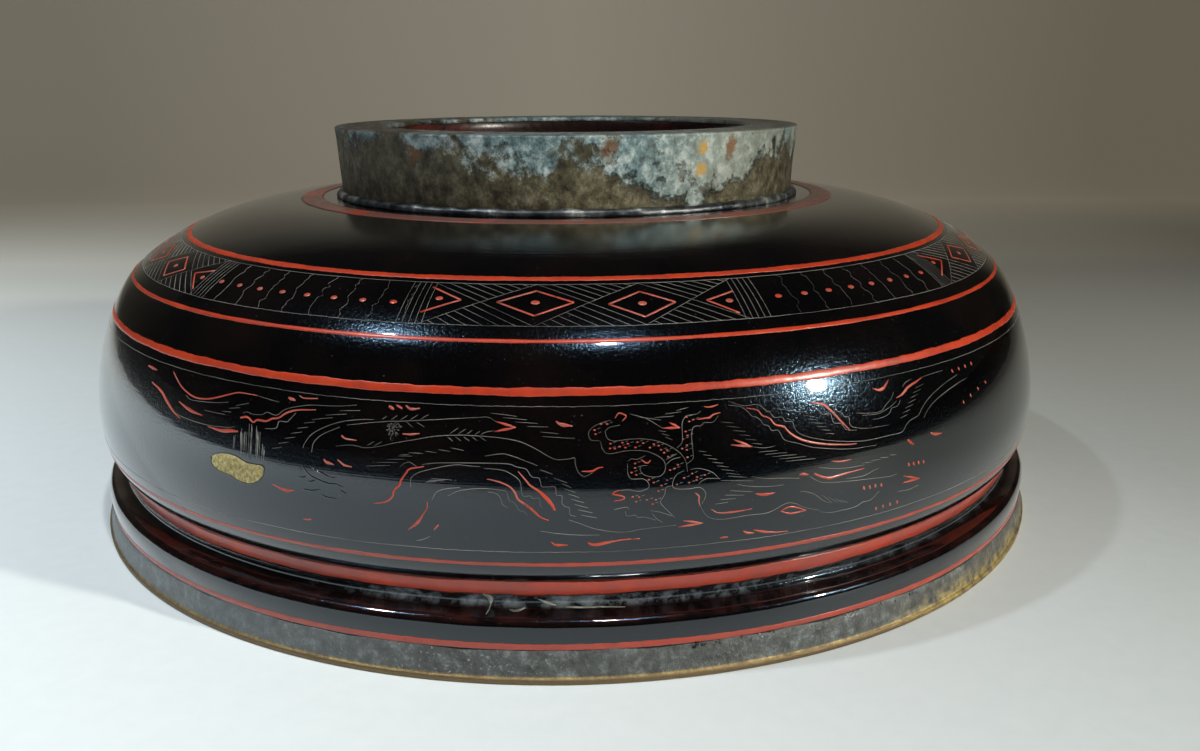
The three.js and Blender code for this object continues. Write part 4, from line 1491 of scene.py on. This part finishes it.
def solder_beads(material):
    """Bright lumps along the top edge of the lip band."""
    draw_from = random.Random(SOLDER_SEED)
    ink = Ink(BEAD_HEIGHT)
    for _ in range(BEAD_COUNT):
        angle = math.radians(draw_from.uniform(*BEAD_SPAN))
        along = float(along_at_height(LIP_BAND_HEIGHT + draw_from.uniform(*BEAD_LEVEL)))
        ink.dot(angle, along, draw_from.uniform(*BEAD_ACROSS), draw_from.uniform(*BEAD_TALL))
    ink.piece("solder_beads", material, "rim_metal")


# Floor, backdrop and lights, with sizes in metres

FLOOR_HALF_WIDTH = 2.0
FLOOR_FRONT = -2.0
BACKDROP_FOOT = 0.66
BACKDROP_SWEEP = 0.06
BACKDROP_TOP = 0.6
SWEEP_STEPS = 12
FLOOR_DROP = 0.00005
WALL_COLOUR = (0.12, 0.11, 0.09)
# Glow of the backdrop as seen, from west to east and brightest in the middle: painted light
WALL_SEEN = ((0.28, (0.130, 0.117, 0.091)), (0.5, (0.200, 0.182, 0.143)), (0.75, (0.118, 0.103, 0.074)))
WALL_MIRRORED = ((0.14, 0.0), (0.26, 1.0), (0.74, 1.0), (0.86, 0.0))


def stage_sheet():
    """A pale floor that sweeps up into a warm grey backdrop."""
    rows = [(FLOOR_FRONT, 0.0), (0.0, 0.0)]
    for i in range(SWEEP_STEPS + 1):
        turn = math.pi / 2 * i / SWEEP_STEPS
        rows.append((BACKDROP_FOOT + BACKDROP_SWEEP * math.sin(turn), BACKDROP_SWEEP * (1 - math.cos(turn))))
    rows.append((BACKDROP_FOOT + BACKDROP_SWEEP, BACKDROP_TOP))
    verts = [(x, y, z - FLOOR_DROP) for y, z in rows for x in (-FLOOR_HALF_WIDTH, FLOOR_HALF_WIDTH)]
    faces = [(2 * i, 2 * i + 1, 2 * i + 3, 2 * i + 2) for i in range(len(rows) - 1)]
    mesh = bpy.data.meshes.new("floor")
    mesh.from_pydata(verts, [], faces)
    mesh.polygons.foreach_set("use_smooth", [True] * len(faces))
    s = Shader("floor")
    grain = s.noise(s.place(), 220.0, 3.0, 0.6)
    back = s.ramp(s.axis("Y"), (0.34, 0.0), (0.70, 1.0))
    pale = s.ramp(grain, *FLOOR_TONES)
    far = s.mix(s.ramp(s.axis("Y"), (0.0, 0.0), (0.36, 1.0)), pale, FAR_FLOOR)
    s.set(Base_Color=s.mix(back, far, WALL_COLOUR), Roughness=0.7)
    # The backdrop glows for camera rays, and for mirrored rays with a fade to the sides and upwards: painted
    # light, not a lamp
    path = s.node("ShaderNodeLightPath")
    side = s.west_to_east(0.5)
    fading = s.times(s.ramp(s.axis("Z"), (0.1, 1.0), (0.6, 0.0)), s.ramp(side, *WALL_MIRRORED))
    mirrored = s.times(path.outputs["Is Glossy Ray"], fading)
    seen = s.math("MAXIMUM", path.outputs["Is Camera Ray"], mirrored)
    glow = s.ramp(s.axis("Y"), (0.29, 0.0), (0.63, 1.0))
    s.set(Emission_Color=s.ramp(side, *WALL_SEEN), Emission_Strength=s.times(seen, glow))
    mesh.materials.append(s.material)
    sheet = bpy.data.objects.new("floor", mesh)
    bpy.context.scene.collection.objects.link(sheet)


SCREEN_RADIUS = 0.75
SCREEN_HEIGHT = 0.08
SCREEN_SPAN = math.radians(245)
SCREEN_PANELS = 48


def dark_screen():
    """A dark curved card round the camera's side, seen only in the lacquer, as a black flag in a studio."""
    verts = []
    for i in range(SCREEN_PANELS + 1):
        angle = -math.pi / 2 + SCREEN_SPAN * (i / SCREEN_PANELS - 0.5)
        x, y = SCREEN_RADIUS * math.cos(angle), SCREEN_RADIUS * math.sin(angle)
        verts += [(x, y, 0.0), (x, y, SCREEN_HEIGHT)]
    faces = [(2 * i, 2 * i + 2, 2 * i + 3, 2 * i + 1) for i in range(SCREEN_PANELS)]
    mesh = bpy.data.meshes.new("dark_screen")
    mesh.from_pydata(verts, [], faces)
    s = Shader("dark_screen")
    s.set(Base_Color=s.ramp(s.noise(s.place(), 20.0), (0.3, 0.012), (0.7, 0.02)), Roughness=0.9)
    mesh.materials.append(s.material)
    screen = bpy.data.objects.new("dark_screen", mesh)
    screen.visible_camera = False
    screen.visible_shadow = False
    screen.visible_diffuse = False
    bpy.context.scene.collection.objects.link(screen)


# Each lamp: name, direction from the bowl, where it aims on the floor, power, colour
LAMPS = (
    ("lamp_left", (-0.497, -0.062, 0.866), (-0.56, -0.10, 0.0), 2.45, (0.87, 0.95, 1.0)),
    ("lamp_top", (0.111, -0.240, 0.964), (-0.41, -0.55, 0.0), 2.25, (0.95, 0.985, 1.0)),
    ("lamp_right", (0.82, -0.448, 0.356), (-0.08, -0.13, 0.0), 1.55, (1.0, 0.97, 0.85)),
)
LAMP_DISTANCE = 1.1
LAMP_SIZE = 0.06
LAMP_SPREAD = math.radians(75)
LIT_FACE = (0.0, -0.10, 0.055)


def lamps():
    """Small soft lamps, whose highlights fall where the photograph has them."""
    for name, direction, aim, power, colour in LAMPS:
        data = bpy.data.lights.new(name, "AREA")
        data.shape = "DISK"
        data.size = LAMP_SIZE
        data.spread = LAMP_SPREAD
        data.energy = power
        data.color = colour
        lamp = bpy.data.objects.new(name, data)
        lamp.location = Vector(LIT_FACE) + LAMP_DISTANCE * Vector(direction)
        lamp.rotation_mode = "QUATERNION"
        lamp.rotation_quaternion = (Vector(aim) - lamp.location).to_track_quat("-Z", "Y")
        bpy.context.scene.collection.objects.link(lamp)


ROOM_GREY = (0.22, 0.205, 0.17, 1.0)
ROOM_DIM = (0.075, 0.072, 0.066, 1.0)
ROOM_DARK = (0.014, 0.013, 0.012, 1.0)


def world_light():
    """A dim room that is dark in reflections and looks warm grey behind the floor."""
    world = bpy.data.worlds.new("room")
    world.use_nodes = True
    tree = world.node_tree
    background = tree.nodes["Background"]
    seen = tree.nodes.new("ShaderNodeLightPath")
    colour = ROOM_DIM
    for ray, tone in (("Is Glossy Ray", ROOM_DARK), ("Is Camera Ray", ROOM_GREY)):
        mix = tree.nodes.new("ShaderNodeMix")
        mix.data_type = "RGBA"
        tree.links.new(seen.outputs[ray], mix.inputs[0])
        if isinstance(colour, tuple):
            mix.inputs[6].default_value = colour
        else:
            tree.links.new(colour, mix.inputs[6])
        mix.inputs[7].default_value = tone
        colour = mix.outputs[2]
    tree.links.new(colour, background.inputs["Color"])
    bpy.context.scene.world = world


HIDDEN_NODES = {"wood": ("wood_core", "foot_core"), "ground": ("outer_ground", "inner_ground")}


def dress_hidden_nodes(**materials):
    """Materials for the layers that the shells cover."""
    for key, nodes in HIDDEN_NODES.items():
        for node in nodes:
            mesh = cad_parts[node].data
            mesh.materials.clear()
            mesh.materials.append(materials[key])


def main():
    bpy.context.scene.view_settings.view_transform = "Standard"
    make_camera()
    world_light()
    lamps()
    stage_sheet()
    dark_screen()
    red = red_paint("ring_paint", haze=0.06, worn_from=0.66)
    thin_red = red_paint("drawn_paint", haze=0.55, worn_from=0.58)
    # The low rings get a darker copy of the ring paint: painted shade
    shaded_low_red = red_paint("shaded_low_paint", haze=0.5, worn_from=0.66, dull=SHADED_LOW_RED, rub_and_painted_light_at=(0.30, 0.50))
    # The foot ring gets a pinkish brown copy of the paint: painted reflection of the foot band
    foot_reflection_red = red_paint("foot_reflection_paint", haze=0.92, worn_from=0.66, dull=FOOT_REFLECTION_BROWN, rub_and_painted_light_at=(0.32, 0.46))
    needle = needle_line()
    metal = rim_metal()
    paste = bedding_paste()
    ground = ash_ground()
    dress_hidden_nodes(wood=turned_wood(), ground=ground)
    lacquer = black_lacquer()
    lacquer_shell(lacquer)
    lip_band(metal)
    foot_sleeve(foot_metal())
    fillet_bead(paste)
    lining(red_brown_lacquer("lining_lacquer", LINING_TONES))
    base_coat(red_brown_lacquer("base_lacquer", BASE_TONES))
    red_rings(high=red, low=shaded_low_red, foot=foot_reflection_red)
    needle_rings(needle)
    frieze(thin_red, needle)
    belly_drawing(thin_red, needle)
    chip(ground)
    scrapes(pale_scratch_and_highlight())
    wrinkles(lacquer)
    solder_beads(paste)


main()
